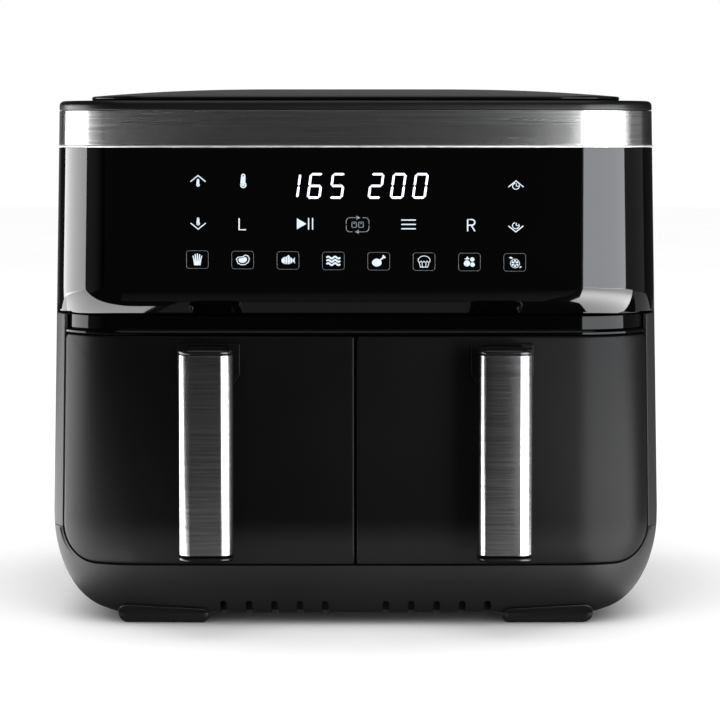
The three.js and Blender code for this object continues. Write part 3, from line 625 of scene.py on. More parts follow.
def rear_cover():
    """Rear wall with its two rounded corners and two banks of louvres."""
    rows = []
    for z in steps(10, WALL_LOW, WALL_HIGH):
        right = [Vector((HALF_WIDTH - side_inset(z), SEAM_Y, z))]
        right += [skin_point("rear_corner", t, z) for t in steps(22)]
        right += [skin_point("rear", t, z) for t in steps(10)[1:]]
        rows.append(right + [mirrored(p) for p in reversed(right[:-1])])
    cover = thicken(skin("rear_cover", rows), WALL)
    bank_x, half_length, height, first, pitch = 88 * MM, 42 * MM, 5 * MM, 206, 11
    louvres = []
    for x in (-bank_x, bank_x):
        for i in range(7):
            z = (first + pitch * i) * MM
            outline = rounded_outline(x - half_length, z, x + half_length, z + height, [2.4 * MM] * 4, 5)
            louvres.append(prism_y("louvre", outline, REAR_Y - 20 * MM, REAR_Y + 20 * MM))
    carve(cover, louvres)
    return settle(round_edges(cover, 0.4 * MM, 2))


def open_sweep(name, profile, end):
    """A skin round the front only. Each profile entry is (z, inside, lean); the lean fades towards the sides.

    end(point, z) says where round the corner the skin stops."""
    def at(kind, t, z, inside, lean):
        inside -= lean * (1 - cos(t * QUARTER)) if kind == "corner" else 0
        return body_point(kind, t, z, side_inset(z) + inside, inside)

    rows = []
    for row in profile:
        last = corner_t(lambda t: end(at("corner", t, *row), row[0]))
        right = [at("front", t, *row) for t in steps(24)[:-1]] + [at("corner", t, *row) for t in steps(32, 0, last)]
        rows.append([mirrored(p) for p in reversed(right[1:])] + right)
    return thicken(skin(name, rows), 2 * MM)


def control_panel():
    """Gloss cover whose lower part leans in more and more, and ends in a small roll."""
    lean_rise, lean_in, power = 21 * MM, 4.6 * MM, 2.6
    steepest = atan(lean_in * power / lean_rise)
    roll = 2.2 * MM
    start = PANEL_LOW + roll * (1 - sin(steepest))
    profile = [(PANEL_LOW, 11 * MM, 0.0)]
    for tilt in steps(8, QUARTER, steepest)[:-1]:
        inside = lean_in + roll * (cos(steepest) - cos(tilt))
        profile.append((PANEL_LOW + roll * (1 - sin(tilt)), inside, lean_in))
    for u in steps(20):
        lean = lean_in * (1 - u) ** power
        profile.append((start + lean_rise * u, lean, lean))
    profile += [(z, 0.0, 0.0) for z in steps(8, start + lean_rise, PANEL_HIGH)[1:]]
    panel = open_sweep("control_panel", profile, lambda p, z: p.y > PANEL_END_Y)
    return settle(round_edges(panel, 0.35 * MM, 3, 50))


def lower_fascia():
    """Recessed gloss strip with a small lip just above the drawers."""
    deep = 3 * MM
    profile = [(FASCIA_LOW, 3.5 * MM), (FASCIA_LOW, 0.8 * MM), (FASCIA_LOW + 1.2 * MM, 0.8 * MM)]
    profile += [(FASCIA_LOW + 2.2 * MM, 1.5 * MM), (FASCIA_LOW + 3 * MM, deep)]
    profile += [(z, deep) for z in steps(4, FASCIA_LOW + 3 * MM, FASCIA_HIGH)[1:]]
    profile = [(z, inside, 0.0) for z, inside in profile]
    fascia = open_sweep("lower_fascia", profile, lambda p, z: p.x > leaned(DRAWER_OUTER_X + 0.8 * MM, z))
    return settle(round_edges(fascia, 0.3 * MM, 3, 30))


def trim_band():
    """Brushed band round the top of the body."""
    rows = [full_ring(z, 0.0) for z in steps(4, BAND_LOW + 2 * BEAD_RADIUS, BAND_HIGH)]
    return settle(round_edges(thicken(skin("trim_band", rows, wrap=True), 1.1 * MM), 0.3 * MM, 3))


def band_bead():
    """Thin satin bead that closes the band's lower edge."""
    r = BEAD_RADIUS
    return hoop("band_bead", [full_ring(BAND_LOW + r * (1 - cos(a)), r * (0.35 - sin(a)))
                              for a in steps(12, 0, 2 * pi)[:-1]])


def lid_ring(z, inside):
    """The lid's outline at a height, moved in by an amount (outwards where it is negative)."""
    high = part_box("top_lid")[1]
    least_corner, corner_change = 18 * MM, 0.22
    r = max(least_corner, LID_CORNER - corner_change * inside)
    points = []
    for kind, t in FULL_STATIONS:
        x, y = rounded_plan(kind, t, high.x - inside, LID_FRONT_Y + inside, high.y - inside, (r, r), (r, r))
        points.append(bowed(x, y, z))
    return both_halves(points)


def rim_ring(z, inside):
    side = side_inset(RIM_LOW) + inside
    return both_halves([body_point(kind, t, z, side, inside) for kind, t in FULL_STATIONS])


def top_rim():
    """Top moulding: rounded outer edge, flat border, and a groove under the lid's edge."""
    edge = 3.2 * MM
    rows = [rim_ring(RIM_LOW, 12 * MM), rim_ring(RIM_LOW, 0.5 * MM), rim_ring(RIM_LOW + 0.15 * MM, 0.15 * MM)]
    rows.append(rim_ring(RIM_LOW + 0.5 * MM, 0.0))
    for a in steps(8, 0, QUARTER):
        rows.append(rim_ring(RIM_HIGH - edge * (1 - sin(a)), edge * (1 - cos(a))))
    rows += [lid_ring(RIM_HIGH, -1.8 * MM), lid_ring(RIM_HIGH - 0.2 * MM, -1.4 * MM)]
    rows += [lid_ring(RIM_HIGH - 2 * MM, -1.2 * MM), lid_ring(RIM_HIGH - 2 * MM, 12 * MM)]
    return solid("top_rim", rows)


def top_lid():
    """Shallow dome with a rolled edge."""
    low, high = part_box("top_lid")
    rows = [lid_ring(low.z, 3 * MM), lid_ring(low.z, 1.6 * MM)]
    for a in steps(6, -QUARTER, QUARTER):
        rise = LID_ROLL * (1 + sin(a))
        rows.append(lid_ring(low.z + rise, LID_ROLL * (1 - cos(a))))
    top = low.z + 2 * LID_ROLL
    crown = high.z - top
    for inside in steps(26, 2 * MM, LID_DOME_RUN):
        rows.append(lid_ring(top + crown * (1 - (1 - (inside - 1.4 * MM) / LID_DOME_RUN) ** 2), inside))
    return solid("top_lid", rows)


def face_patch(name, outline, face, back_y, fillet, insets):
    """A block whose front follows face(x, z): back edge, rounded front edge, then rings closing inwards."""
    rows = [[Vector((x, back_y, z)) for x, z in outline(0.0)]]
    for a in steps(5, 0, QUARTER):
        inside, behind = fillet * (1 - cos(a)), fillet * (1 - sin(a))
        rows.append([Vector((x, face(x, z) + behind, z)) for x, z in outline(inside)])
    for inside in insets:
        rows.append([Vector((x, face(x, z), z)) for x, z in outline(inside)])
    return solid(name, rows)


def foot(name, sign, end):
    """Pebble-shaped foot wrapped round the base's lower edge."""
    low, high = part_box("foot_rear_right" if end > 0 else "foot_front_right")
    big, small, top, inner_top, least = 6.4 * MM, 4.6 * MM, 13.4 * MM, 10.4 * MM, 0.4 * MM
    x0, x1 = low.x, high.x

    def outline(inside):
        large, little = max(least, big - inside), max(least, small - inside)
        return turned((
            (x1 - big, big, large, large, -1), (x1 - big, top - big, large, large, 0),
            (x0 + small, inner_top - small, little, little, 1), (x0 + small, small, little, little, 2)), 8)

    def face(x, z):
        swell = 3 * MM - 4 * MM * quarter_drop(max(0.0, 1 - z / (6 * MM)))
        return FACE_Y + face_inset(max(z, BASE_LOW)) - swell + BOW * (x / HALF_WIDTH) ** 2

    piece = face_patch(name, outline, face, FACE_Y + 54 * MM, 1.6 * MM, [2.6 * MM, 3.6 * MM])
    for vertex in piece.data.vertices:
        if end > 0:
            vertex.co.y = REAR_Y - (vertex.co.y - FACE_Y)
        if sign < 0:
            vertex.co.x = -vertex.co.x
    if sign * end > 0:
        piece.data.flip_normals()
    piece.data.update()
    return piece


# ---- drawers ----
def drawer_front():
    """Curved face with filleted edges; its corner radii follow the slots round it."""
    fillet = 1.1 * MM
    radii = [1.4 * MM, DRAWER_CORNER, 3.4 * MM, 1.4 * MM]

    def outline(inside):
        shrunk = [max(0.3 * MM, r - inside) for r in radii]
        points = rounded_outline(
            DRAWER_INNER_X + inside, DRAWER_LOW + inside, DRAWER_OUTER_X - inside, DRAWER_HIGH - inside,
            shrunk, 8, 34)
        return [(leaned(x, z), z) for x, z in points]

    half = (DRAWER_HIGH - DRAWER_LOW) / 2
    insets = steps(22, fillet * 1.8, half - 0.3 * MM)
    return face_patch("drawer_front", outline, skin_y, DRAWER_BACK_Y, fillet, insets)


def handle_row(z, inside):
    """Plan of the handle: slightly crowned in front, with soft corners."""
    half, front, rear = HANDLE_HALF - inside, HANDLE_FRONT_Y + inside, HANDLE_REAR_Y
    fx, fy, r, crown = 8 * MM, 9 * MM, 4 * MM, 0.35 * MM
    row = []
    for x, y in turned((
        (half - fx, front + fy, fx, fy, -1), (half - r, rear - r, r, r, 0),
        (r - half, rear - r, r, r, 1), (fx - half, front + fy, fx, fy, 2),
    ), 10):
        middle = 1 - (x / HANDLE_HALF) ** 2
        row.append(Vector((HANDLE_X + x, y - (crown * middle if y < HANDLE_FRONT_Y + fx else 0), z)))
    return row


def handle_grip():
    """Core of the handle with a rounded lip above and below the steel."""
    low, high = levels("right_handle_grip")
    sleeve_low, sleeve_high = levels("right_handle_trim")
    room, lip_low, lip_high = 1.5 * MM, sleeve_low - 1.6 * MM, sleeve_high + 0.6 * MM
    soft, edge, core = 1.5 * MM, 0.2 * MM, 4 * MM
    profile = [(low, core)] + round_over(low, soft)
    profile += [(lip_low - edge, 0), (lip_low, edge), (lip_low, room), (lip_high, room)]
    profile += [(lip_high, edge), (lip_high + edge, 0)]
    profile += round_over(high, soft, -1)[::-1] + [(high, core)]
    return solid("handle_grip", [handle_row(z, inside) for z, inside in profile])


def handle_trim():
    """Steel sleeve folded round the grip's front and sides."""
    low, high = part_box("right_handle_trim")
    section = handle_row(0, 0)
    count = len(section) // 4
    front = section[-count:] + section[:count]
    left, right = (Vector((HANDLE_X + side * HANDLE_HALF, high.y, 0)) for side in (-1, 1))
    rows = [[Vector((p.x, p.y, z)) for p in (left, *front, right)] for z in steps(6, low.z, high.z)]
    return settle(round_edges(thicken(skin("handle_trim", rows), 1.1 * MM), 0.22 * MM, 2))


def handle_pad():
    """Boss on the drawer's face and the arm that carries the handle, with two ribs on it."""
    low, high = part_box("right_handle_pad")
    half, chamfer, chamfer_low, chamfer_high = 19.3 * MM, 4 * MM, 153.5 * MM, 160 * MM
    pad_front, arm_back, rib_back = -141.2 * MM, -138 * MM, -141 * MM
    outline = [(HANDLE_X - half, high.z), (HANDLE_X - half, chamfer_high), (HANDLE_X - half + chamfer, chamfer_low)]
    outline += [(2 * HANDLE_X - x, z) for x, z in reversed(outline)]
    pad = round_edges(prism_y("handle_pad", outline, pad_front, DRAWER_BACK_Y - 26 * MM), 0.5 * MM, 3)
    arm_half, arm_low, big, small = 13 * MM, 157 * MM, 6 * MM, 2 * MM
    arm_outline = rounded_outline(
        HANDLE_X - arm_half, arm_low, HANDLE_X + arm_half, high.z - 0.6 * MM, [big, big, small, small])
    arm = prism_y("handle_arm", arm_outline, low.y, arm_back)
    rib_half, rib_x = 0.3 * MM, 1.2 * MM
    ribs = [block("arm_rib", (x - rib_half, low.y + 1 * MM, high.z - 2 * MM),
                  (x + rib_half, rib_back, high.z - 0.2 * MM)) for x in (HANDLE_X - rib_x, HANDLE_X + rib_x)]
    return join(pad, [arm] + ribs)


def pan():
    """Deep-drawn pan: rounded foot, straight walls, rolled rim."""
    box_low, box_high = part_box("right_pan")
    low, high = box_low.z, box_high.z
    flange, least = 2.5 * MM, 2 * MM
    sheet, foot_r, roll, floor_in, straight_top = 1.2 * MM, 7 * MM, 1.25 * MM, 30 * MM, high - 2.6 * MM
    profile = [(low, floor_in)] + round_over(low, foot_r) + [(straight_top, 0.0)]
    profile += [(high - roll - roll * cos(a), -roll - roll * sin(a)) for a in steps(10, 0, 1.5 * pi)]
    profile.append((straight_top, sheet))
    profile += [(z + sheet, inside + sheet) for z, inside in reversed(round_over(low, foot_r))]
    profile.append((low + sheet, floor_in))
    return solid("pan", [
        box_ring(box_low, box_high, z, flange + inside, max(least, PAN_CORNER - inside)) for z, inside in profile])


def slot_cutter(x, y, half_width, half_length, z0, z1):
    reach = half_length - half_width
    outline = turned(
        [(x, y + way * reach, half_width, half_width, 1 - way) for way in (1, -1)], 8, 2)
    rows = [[Vector((px, py, z)) for px, py in outline] for z in (z0, z1)]
    return solid("slot", rows)


def crisper_plate():
    """Coated plate with a turned-up edge and rows of slots."""
    low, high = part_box("right_crisper_plate")
    rise, thick, floor_in = 4.5 * MM, high.z - low.z, 30 * MM
    profile = [(low.z, floor_in), (low.z, 3.4 * MM), (low.z + 0.9 * MM, 1.1 * MM), (low.z + 2.4 * MM, 0.2 * MM)]
    profile += [(low.z + rise, 0.0), (low.z + rise + 0.5 * MM, 0.5 * MM), (low.z + rise, 1.2 * MM)]
    profile += [(low.z + 3.6 * MM, 1.5 * MM), (high.z + 0.3 * MM, 2.8 * MM), (high.z, 4.6 * MM), (high.z, floor_in)]
    plate = solid("crisper_plate", [
        box_ring(low, high, z, inside, max(3 * MM, 12 * MM - inside)) for z, inside in profile])
    middle = (low + high) / 2
    cutters = []
    for i in range(4):
        for j in range(6):
            x, y = middle.x + (i - 1.5) * 32 * MM, middle.y + (j - 2.5) * 34 * MM
            cutters.append(slot_cutter(x, y, 4 * MM, 11 * MM, low.z - thick, high.z + thick))
    carve(plate, cutters)
    return settle(round_edges(plate, 0.4 * MM, 2, 50))


def bumper(node):
    """Silicone block, waisted and soft-edged."""
    low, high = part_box(node)
    drawn_height = 12.6
    profile = [(low.z + rise / drawn_height * (high.z - low.z), inside) for rise, inside in (
        (0.0, 1.6), (0.25, 0.8), (0.9, 0.15), (1.8, 0.0), (3.2, 0.0), (4.4, 0.7), (5.6, 0.9), (7.0, 0.7), (8.4, 0.0),
        (10.4, 0.0))]
    profile += [(high.z - drop * MM, inside) for drop, inside in ((0.7, 0.15), (0.1, 0.8), (0.0, 1.6))]
    return solid(node, [
        box_ring(low, high, z, inside * MM, max(0.6 * MM, (3 - inside) * MM), 6, 2) for z, inside in profile])


def cord_gland():
    """Bushing in the rear cover, a stepped collar with a rounded mouth."""
    low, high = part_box("cord_gland")
    middle = (low + high) / 2
    outside = (high.y - REAR_Y) / MM
    profile = [(3.6, -9), (12, -9), (12, -3.1), (9, -3.1), (9, 0.3), (12.2, 0.3), (12.5, 0.8), (12.3, 1.6),
               (11.6, outside - 0.4), (11.0, outside), (5.2, outside), (4.2, outside - 0.5),
               (3.6, 1.5)]
    rows = []
    for a in steps(48, 0, 2 * pi)[:-1]:
        rows.append([Vector((middle.x + r * MM * cos(a), REAR_Y + y * MM, middle.z + r * MM * sin(a)))
                     for r, y in profile])
    return hoop("cord_gland", rows)


# ---- lit marks on the panel ----
class Marks:
    """Flat lit marks, gathered into one mesh and laid on the panel's curved face."""

    def __init__(self):
        self.vertices, self.faces = [], []

    def at(self, x, z, scale=1.0):
        """Sets where the next marks go, in millimetres on the panel."""
        self.x, self.z, self.scale = x, z, scale
        return self

    def put(self, x, z):
        """Adds a point's front and back vertex and returns the index of the front one."""
        proud, sunk = 0.12 * MM, 0.2 * MM
        px, pz = (self.x + x * self.scale) * MM, (self.z + z * self.scale) * MM
        y = skin_y(px, pz)
        self.vertices += [(px, y - proud, pz), (px, y + sunk, pz)]
        return len(self.vertices) - 2

    def plate(self, outline):
        """A filled shape; its points run anticlockwise as seen from in front."""
        front = [self.put(x, z) for x, z in outline]
        self.faces += [tuple(front), tuple(i + 1 for i in reversed(front))]
        self.faces += [(b, a, a + 1, b + 1) for a, b in zip(front, front[1:] + front[:1])]

    def strip(self, left, right, closed):
        """A shape between two lines of equally many points."""
        a = [self.put(x, z) for x, z in left]
        b = [self.put(x, z) for x, z in right]
        for i in range(len(a) if closed else len(a) - 1):
            j = (i + 1) % len(a)
            self.faces += [
                (a[i], b[i], b[j], a[j]), (a[i] + 1, a[j] + 1, b[j] + 1, b[i] + 1),
                (a[i], a[j], a[j] + 1, a[i] + 1), (b[j], b[i], b[i] + 1, b[j] + 1)]
        if not closed:
            self.faces += [(b[0], a[0], a[0] + 1, b[0] + 1), (a[-1], b[-1], b[-1] + 1, a[-1] + 1)]

    def line(self, points, width, closed=False):
        """A stroke of even width along points, with round ends where it is open."""
        half = width / 2
        count = len(points)
        left, right = [], []
        for i, (x, z) in enumerate(points):
            before = points[i - 1] if i or closed else points[i]
            after = points[(i + 1) % count] if i < count - 1 or closed else points[i]
            dx, dz = unit(after[0] - before[0], after[1] - before[1])
            sharp = 1.0
            if before != points[i] and after != points[i]:
                ax, az = unit(x - before[0], z - before[1])
                sharp = 1 / max(0.4, abs(ax * dx + az * dz))
            if not closed and i == 0:
                ends(left, right, x, z, -dx, -dz, half, True)
            left.append((x - dz * half * sharp, z + dx * half * sharp))
            right.append((x + dz * half * sharp, z - dx * half * sharp))
            if not closed and i == count - 1:
                ends(left, right, x, z, dx, dz, half, False)
        self.strip(left, right, closed)

    def build(self, name):
        return new_object(name, self.vertices, self.faces)


def unit(x, z):
    length = hypot(x, z) or 1.0
    return x / length, z / length


def ends(left, right, x, z, dx, dz, half, first):
    """Closes a stroke's end with a half circle."""
    angles = steps(4, radians(12), QUARTER)[:-1]
    for a in angles if first else reversed(angles):
        cx, cz = x + dx * half * cos(a), z + dz * half * cos(a)
        side = half * sin(a) * (-1 if first else 1)
        left.append((cx - dz * side, cz + dx * side))
        right.append((cx + dz * side, cz - dx * side))


def arc(cx, cz, rx, rz, start, end, n=14):
    """Points along part of an ellipse, its angles in degrees anticlockwise from the right."""
    return [(cx + rx * cos(radians(a)), cz + rz * sin(radians(a))) for a in steps(n, start, end)]


def oval(cx, cz, rx, rz, n=20):
    return arc(cx, cz, rx, rz, 0, 360, n)[:-1]


SEGMENTS = {"0": "abcdef", "1": "bc", "2": "abdeg", "5": "acdfg", "6": "acdefg"}
DIGIT_HEIGHT, DIGIT_WIDTH, DIGIT_PITCH, BAR = 15.8, 7.1, 13.7, 1.35
DIGIT_SLANT = tan(radians(7.7))


def bar(marks, start, end):
    """One display bar with pointed ends."""
    (x0, z0), (x1, z1) = start, end
    dx, dz = unit(x1 - x0, z1 - z0)
    gap, half = 0.16, BAR / 2
    x0, z0, x1, z1 = x0 + dx * gap, z0 + dz * gap, x1 - dx * gap, z1 - dz * gap
    outline = [
        (x + (dx * along + dz * across) * half, z + (dz * along - dx * across) * half)
        for x, z, along, across in (
            (x0, z0, 0, 0), (x0, z0, 1, 1), (x1, z1, -1, 1), (x1, z1, 0, 0), (x1, z1, -1, -1), (x0, z0, 1, -1))]
    marks.plate([(x + z * DIGIT_SLANT, z) for x, z in outline])


def digit(marks, figure):
    w, h = DIGIT_WIDTH / 2, DIGIT_HEIGHT / 2 - BAR / 2
    places = {
        "a": ((-w, h), (w, h)), "b": ((w, 0), (w, h)), "c": ((w, -h), (w, 0)), "d": ((-w, -h), (w, -h)),
        "e": ((-w, -h), (-w, 0)), "f": ((-w, 0), (-w, h)), "g": ((-w, 0), (w, 0)),
    }
    for letter in SEGMENTS[figure]:
        bar(marks, *places[letter])


def thermometer(marks, width):
    marks.line([(-0.8, -1.6), (-0.8, 2.6)] + arc(0, 2.6, 0.8, 0.8, 180, 0, 8) + [(0.8, -1.6)]
               + arc(0, -2.6, 1.4, 1.4, 45, -225, 14), width, closed=True)
    marks.line([(0, 2.0), (0, -2.4)], 0.7)
    marks.plate(oval(0, -2.6, 0.75, 0.75, 12))


def chevron(marks, way):
    """An arrow head that points up, or down where way is -1."""
    marks.line([(-5.2, -1.2 * way), (0, 3.0 * way), (5.2, -1.2 * way)], 0.75)


def small_clock(marks):
    marks.line(arc(0, 0, 2.1, 1.9, 112, 385, 20), 0.5)
    marks.line([(0.2, 1.7), (0.2, 0), (1.5, 0)], 0.45)


def loop_arrows(marks):
    """Two-drawer timing mark: a rounded loop broken by an arrow above and one below."""
    for way in (1, -1):
        for arc_x, start, first, last in ((-5, 180, (-7.4, 0.6), (-0.8, 4.6)), (5, 90, (3.4, 4.6), (7.4, 0.6))):
            track = [first] + arc(arc_x, 2.2, 2.4, 2.4, start, start - 90, 6) + [last]
            marks.line([(x * way, z * way) for x, z in track], 0.42)
        marks.plate([(x * way, z * way) for x, z in ((-0.8, 3.2), (1.8, 4.6), (-0.8, 6.0))])
    for x in (-2.2, 2.2):
        marks.line(rounded_outline(x - 1.5, -1.7, x + 1.5, 1.7, [0.5] * 4, 3), 0.42, closed=True)
        marks.line([(x - 0.5, 0.8), (x + 0.5, 0.8)], 0.4)


def letter_l(marks):
    marks.line([(-2.2, 4), (-2.2, -4), (2.4, -4)], 0.95)


def letter_r(marks):
    marks.line([(-2.4, -4.2), (-2.4, 4), (0.6, 4)] + arc(0.6, 1.95, 2.2, 2.05, 80, -80, 10) + [(-2.2, -0.1)], 0.95)
    marks.line([(0.2, -0.1), (2.7, -4.2)], 0.95)


def play_pause(marks):
    marks.plate([(-5.6, -3.6), (0.6, 0), (-5.6, 3.6)])
    for x in (2.0, 4.6):
        marks.line([(x, -3.5), (x, 3.5)], 0.75)


def menu(marks):
    for z in (-2.7, 0, 2.7):
        marks.line([(-4.2, z), (4.2, z)], 0.75)


def fries(marks):
    for x, top, lean in ((-2.9, 2.6, -0.9), (-1.5, 3.7, -0.5), (0, 4.1, 0), (1.5, 3.6, 0.5), (2.9, 2.5, 0.9)):
        marks.line([(x * 0.75, -0.6), (x + lean * 0.3, top)], 0.85)
    marks.plate([(-2.3, -4.2), (2.3, -4.2), (3.1, 0.1)] + arc(0, 0.1, 3.1, 1.1, 0, -180, 10)[1:-1] + [(-3.1, 0.1)])


def steak(marks):
    outer = [(-4.6, 0.6), (-3.6, -2.2), (-1.2, -3.5), (1.8, -3.4), (4.2, -1.6), (4.9, 1.2), (3.8, 3.2), (1.8, 3.6),
             (0.2, 2.4), (-1.8, 2.2), (-3.6, 2.0)]
    marks.line(outer, 0.6, closed=True)
    marks.plate([(x * 0.68 - 0.1, z * 0.62) for x, z in outer])


def fish(marks):
    for x0, x1 in ((-4.8, -2.3), (-1.95, -0.5), (-0.15, 1.3), (1.65, 3.2)):
        upper = [(x, 2.6 * sqrt(max(0.0, 1 - ((x + 0.6) / 4.3) ** 2)) + 0.15) for x in steps(5, x0, x1)]
        marks.plate([(x, -z) for x, z in upper] + [(x, z) for x, z in reversed(upper)])
    marks.plate([(3.4, -0.5), (5.2, -2.3), (4.8, 0), (5.2, 2.3), (3.4, 0.5)])
    marks.plate([(-1.2, 2.9), (1.6, 2.7), (0.4, 4.0)])


def bacon(marks):
    for z in (-2.4, 0, 2.4):
        wave = [(x, z + 0.7 * sin(x * 1.25)) for x in steps(24, -4.6, 4.6)]
        marks.line(wave, 1.35)


def drumstick(marks):
    marks.plate(oval(-1.4, -1.0, 3.5, 2.9, 24))
    marks.line([(1.2, 1.0), (3.6, 3.0)], 1.1)
    for x, z in ((3.4, 3.8), (4.3, 2.9)):
        marks.plate(oval(x, z, 0.75, 0.75, 12))


def muffin(marks):
    marks.line(arc(0, 0.8, 4.4, 3.4, -8, 188, 22), 0.5)
    for i in range(4):
        marks.line(arc(-3.3 + 2.2 * i, 0.5, 1.1, 0.9, 180, 360, 8), 0.5)
    marks.line([(-3.6, -0.6), (-2.7, -4.0), (2.7, -4.0), (3.6, -0.6)], 0.5)
    for x in (-1.2, 1.2):
        marks.line([(x * 1.2, -0.9), (x, -3.9)], 0.45)


def vegetables(marks):
    for x, z, r in ((-1.8, -1.0, 2.3), (2.3, -1.9, 1.7), (2.1, 1.9, 1.6)):
        marks.plate(oval(x, z, r, r, 20))
    marks.plate([(-3.8, 2.2), (-1.7, 1.8), (0.2, 2.3), (-0.9, 3.1), (-1.5, 4.2), (-2.3, 3.0)])


def citrus(marks):
    marks.line(oval(0.2, -0.8, 3.3, 3.2, 28), 0.4, closed=True)
    for start in range(0, 360, 60):
        heart = arc(0.2, -0.8, 0.45, 0.45, start + 30, start + 31, 1)[:1]
        marks.plate(heart + arc(0.2, -0.8, 2.6, 2.5, start + 9, start + 51, 5))
    marks.plate([(-4.3, 3.6), (-2.8, 4.2), (-1.2, 3.1), (-2.9, 2.5)])
    marks.plate([(3.2, -4.0), (4.0, -2.9), (5.2, -2.9), (4.6, -4.0)])


def time_marks(marks):
    """Figures of the two drawers' settings."""
    for x, figures in ((-24.9, "165"), (26.4, "200")):
        for i, figure in enumerate(figures):
            digit(marks.at(x + (i - 1) * DIGIT_PITCH, 276.8), figure)


def touch_marks(marks):
    """The rows of keys round the figures."""
    for way, z, inner_z in ((1, 280.6, 278.9), (-1, 252.6, 255.0)):
        chevron(marks.at(-97.3, z, 0.86), way)
        thermometer(marks.at(-97.3, inner_z, 0.6), 0.8)
    for way, z, inner_z in ((1, 277.3, 276.6), (-1, 250.9, 252.2)):
        chevron(marks.at(99.2, z, 0.86), way)
        small_clock(marks.at(99.2, inner_z))
    thermometer(marks.at(-69.3, 280.2, 1.1), 0.7)
    letter_l(marks.at(-70.1, 253.1, 0.85))
    play_pause(marks.at(-30.9, 253.4, 0.95))
    menu(marks.at(32.8, 253.0))
    letter_r(marks.at(71.4, 252.6, 0.85))


def key(marks, index, scale):
    """One of the eight programme keys, which follow the panel's slightly falling line."""
    first_x, first_z, pitch, drop = -97.9, 231.2, 28.07, 0.25
    return marks.at(first_x + pitch * index, first_z - drop * index, scale)


def programme_marks(marks):
    for i, picture in enumerate((fries, steak, fish, bacon, drumstick, muffin, vegetables, citrus)):
        picture(key(marks, i, 0.84))


def frame_marks(marks):
    for i in range(8):
        key(marks, i, 0.98).line(rounded_outline(-6.9, -5.6, 6.9, 5.6, [1.7] * 4, 5), 0.17, closed=True)
    loop_arrows(marks.at(1.3, 252.8, 0.95))


# ---- everything in its place ----
for maker, material, slot in (
    (base_shell, HOUSING, "housing_black"), (rear_cover, HOUSING, "housing_black"),
    (control_panel, GLOSS, "gloss_black"), (lower_fascia, FASCIA, "gloss_black"), (trim_band, BAND, "brushed_band"),
    (top_rim, RIM, "housing_black"), (top_lid, LID, "gloss_black"), (cord_gland, RUBBER, "rubber_black"),
):
    place(maker(), "housing", material, slot, maker.__name__)
place(band_bead(), "housing", BEAD, "brushed_band")

for name, maker, material in (
    ("display_figures", time_marks, GLOW), ("touch_marks", touch_marks, GLOW_SOFT),
    ("programme_marks", programme_marks, GLOW_SOFT), ("programme_frames", frame_marks, GLOW_FAINT),
):
    marks = Marks()
    maker(marks)
    place(marks.build(name), "housing", material, "display_glow")

for side, sign in (("left", -1), ("right", 1)):
    node = f"{side}_side_panel"
    place(side_panel(node, sign), "housing", SIDE, "housing_black", node)
    for end_name, end in (("front", -1), ("rear", 1)):
        node = f"foot_{end_name}_{side}"
        place(foot(node, sign, end), "housing", RUBBER, "rubber_black", node)
    for maker, body, material, slot in (
        (drawer_front, "drawer", DRAWER, "drawer_black"), (handle_pad, "drawer", DRAWER, "drawer_black"),
        (handle_grip, "drawer", GRIP, "grip_black"), (handle_trim, "drawer", SLEEVE, "brushed_handle"),
        (pan, "drawer", COATED, "coated_steel"), (crisper_plate, "crisper", COATED, "coated_steel"),
    ):
        piece = turn_to_side(maker(), sign)
        node = f"{side}_{maker.__name__}"
        piece.name = node + "_shape"
        place(piece, f"{side}_{body}", material, slot, node)
    for end_name in ("front", "rear"):
        for row in ("inner", "outer"):
            node = f"{side}_bumper_{end_name}_{row}"
            place(bumper(node), f"{side}_crisper", RUBBER, "rubber_black", node)

KEPT = {
    "front_frame": INNER, "display_board": BOARD, "power_board": BOARD,
    "cavity_liner": PLATED, "heater_hood": PLATED, "fan_motor": PLATED, "drawer_switch": INNER,
    "element_guard": BRIGHT, "motor_shaft": BRIGHT, "heating_element": SHEATH,
    "convection_fan": ALUMINIUM, "cooling_fan": NYLON, "switch_plunger": NYLON, "drawer_inner_panel": INNER,
}
for node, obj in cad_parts.items():
    plain = node.removeprefix("left_").removeprefix("right_")
    if plain in KEPT:
        obj.data.materials.clear()
        obj.data.materials.append(KEPT[plain])


# ---- stage, light and camera ----
def stage_floor():
    """Matt pale floor that takes the machine's soft shadow."""
    size = 9.0
    floor = skin("studio_floor", [[Vector((-size, y, 0)), Vector((size, y, 0))] for y in (-size, size)])
    shade = new_shade("studio_floor")
    tone = shade.blend(shade.noise(3, 2), [0.88] * 3, [0.92] * 3)
    floor.data.materials.append(shade.finish(Base_Color=tone, Roughness=0.9, Specular_IOR_Level=0))
    floor.visible_glossy = False
    floor.visible_diffuse = False


def bright_card(name, corners, stops):
    """Bright surface of the studio as the glossy parts see it. It lights nothing itself.

    Stops are (distance from the machine, radiance) pairs; the radiance drifts from one to the next."""
    card = new_object(name, corners, [tuple(range(len(corners)))])
    shade = new_shade(name)
    first = stops[0][1]
    total = shade.remap(shade.noise(2, 1), first * 0.94, first * 1.06)
    away = shade.add("VectorMath", "Value", shade.space(), operation="LENGTH")
    for (near, before), (far, after) in zip(stops, stops[1:]):
        total = shade.add("Math", 0, total, shade.drift(away, near, far, 0.0, after - before))
    card.data.materials.append(
        shade.finish(Base_Color=(0, 0, 0), Emission_Color=(1, 1, 1), Emission_Strength=total))
    for ray in ("camera", "diffuse", "transmission", "volume_scatter", "shadow"):
        setattr(card, f"visible_{ray}", False)


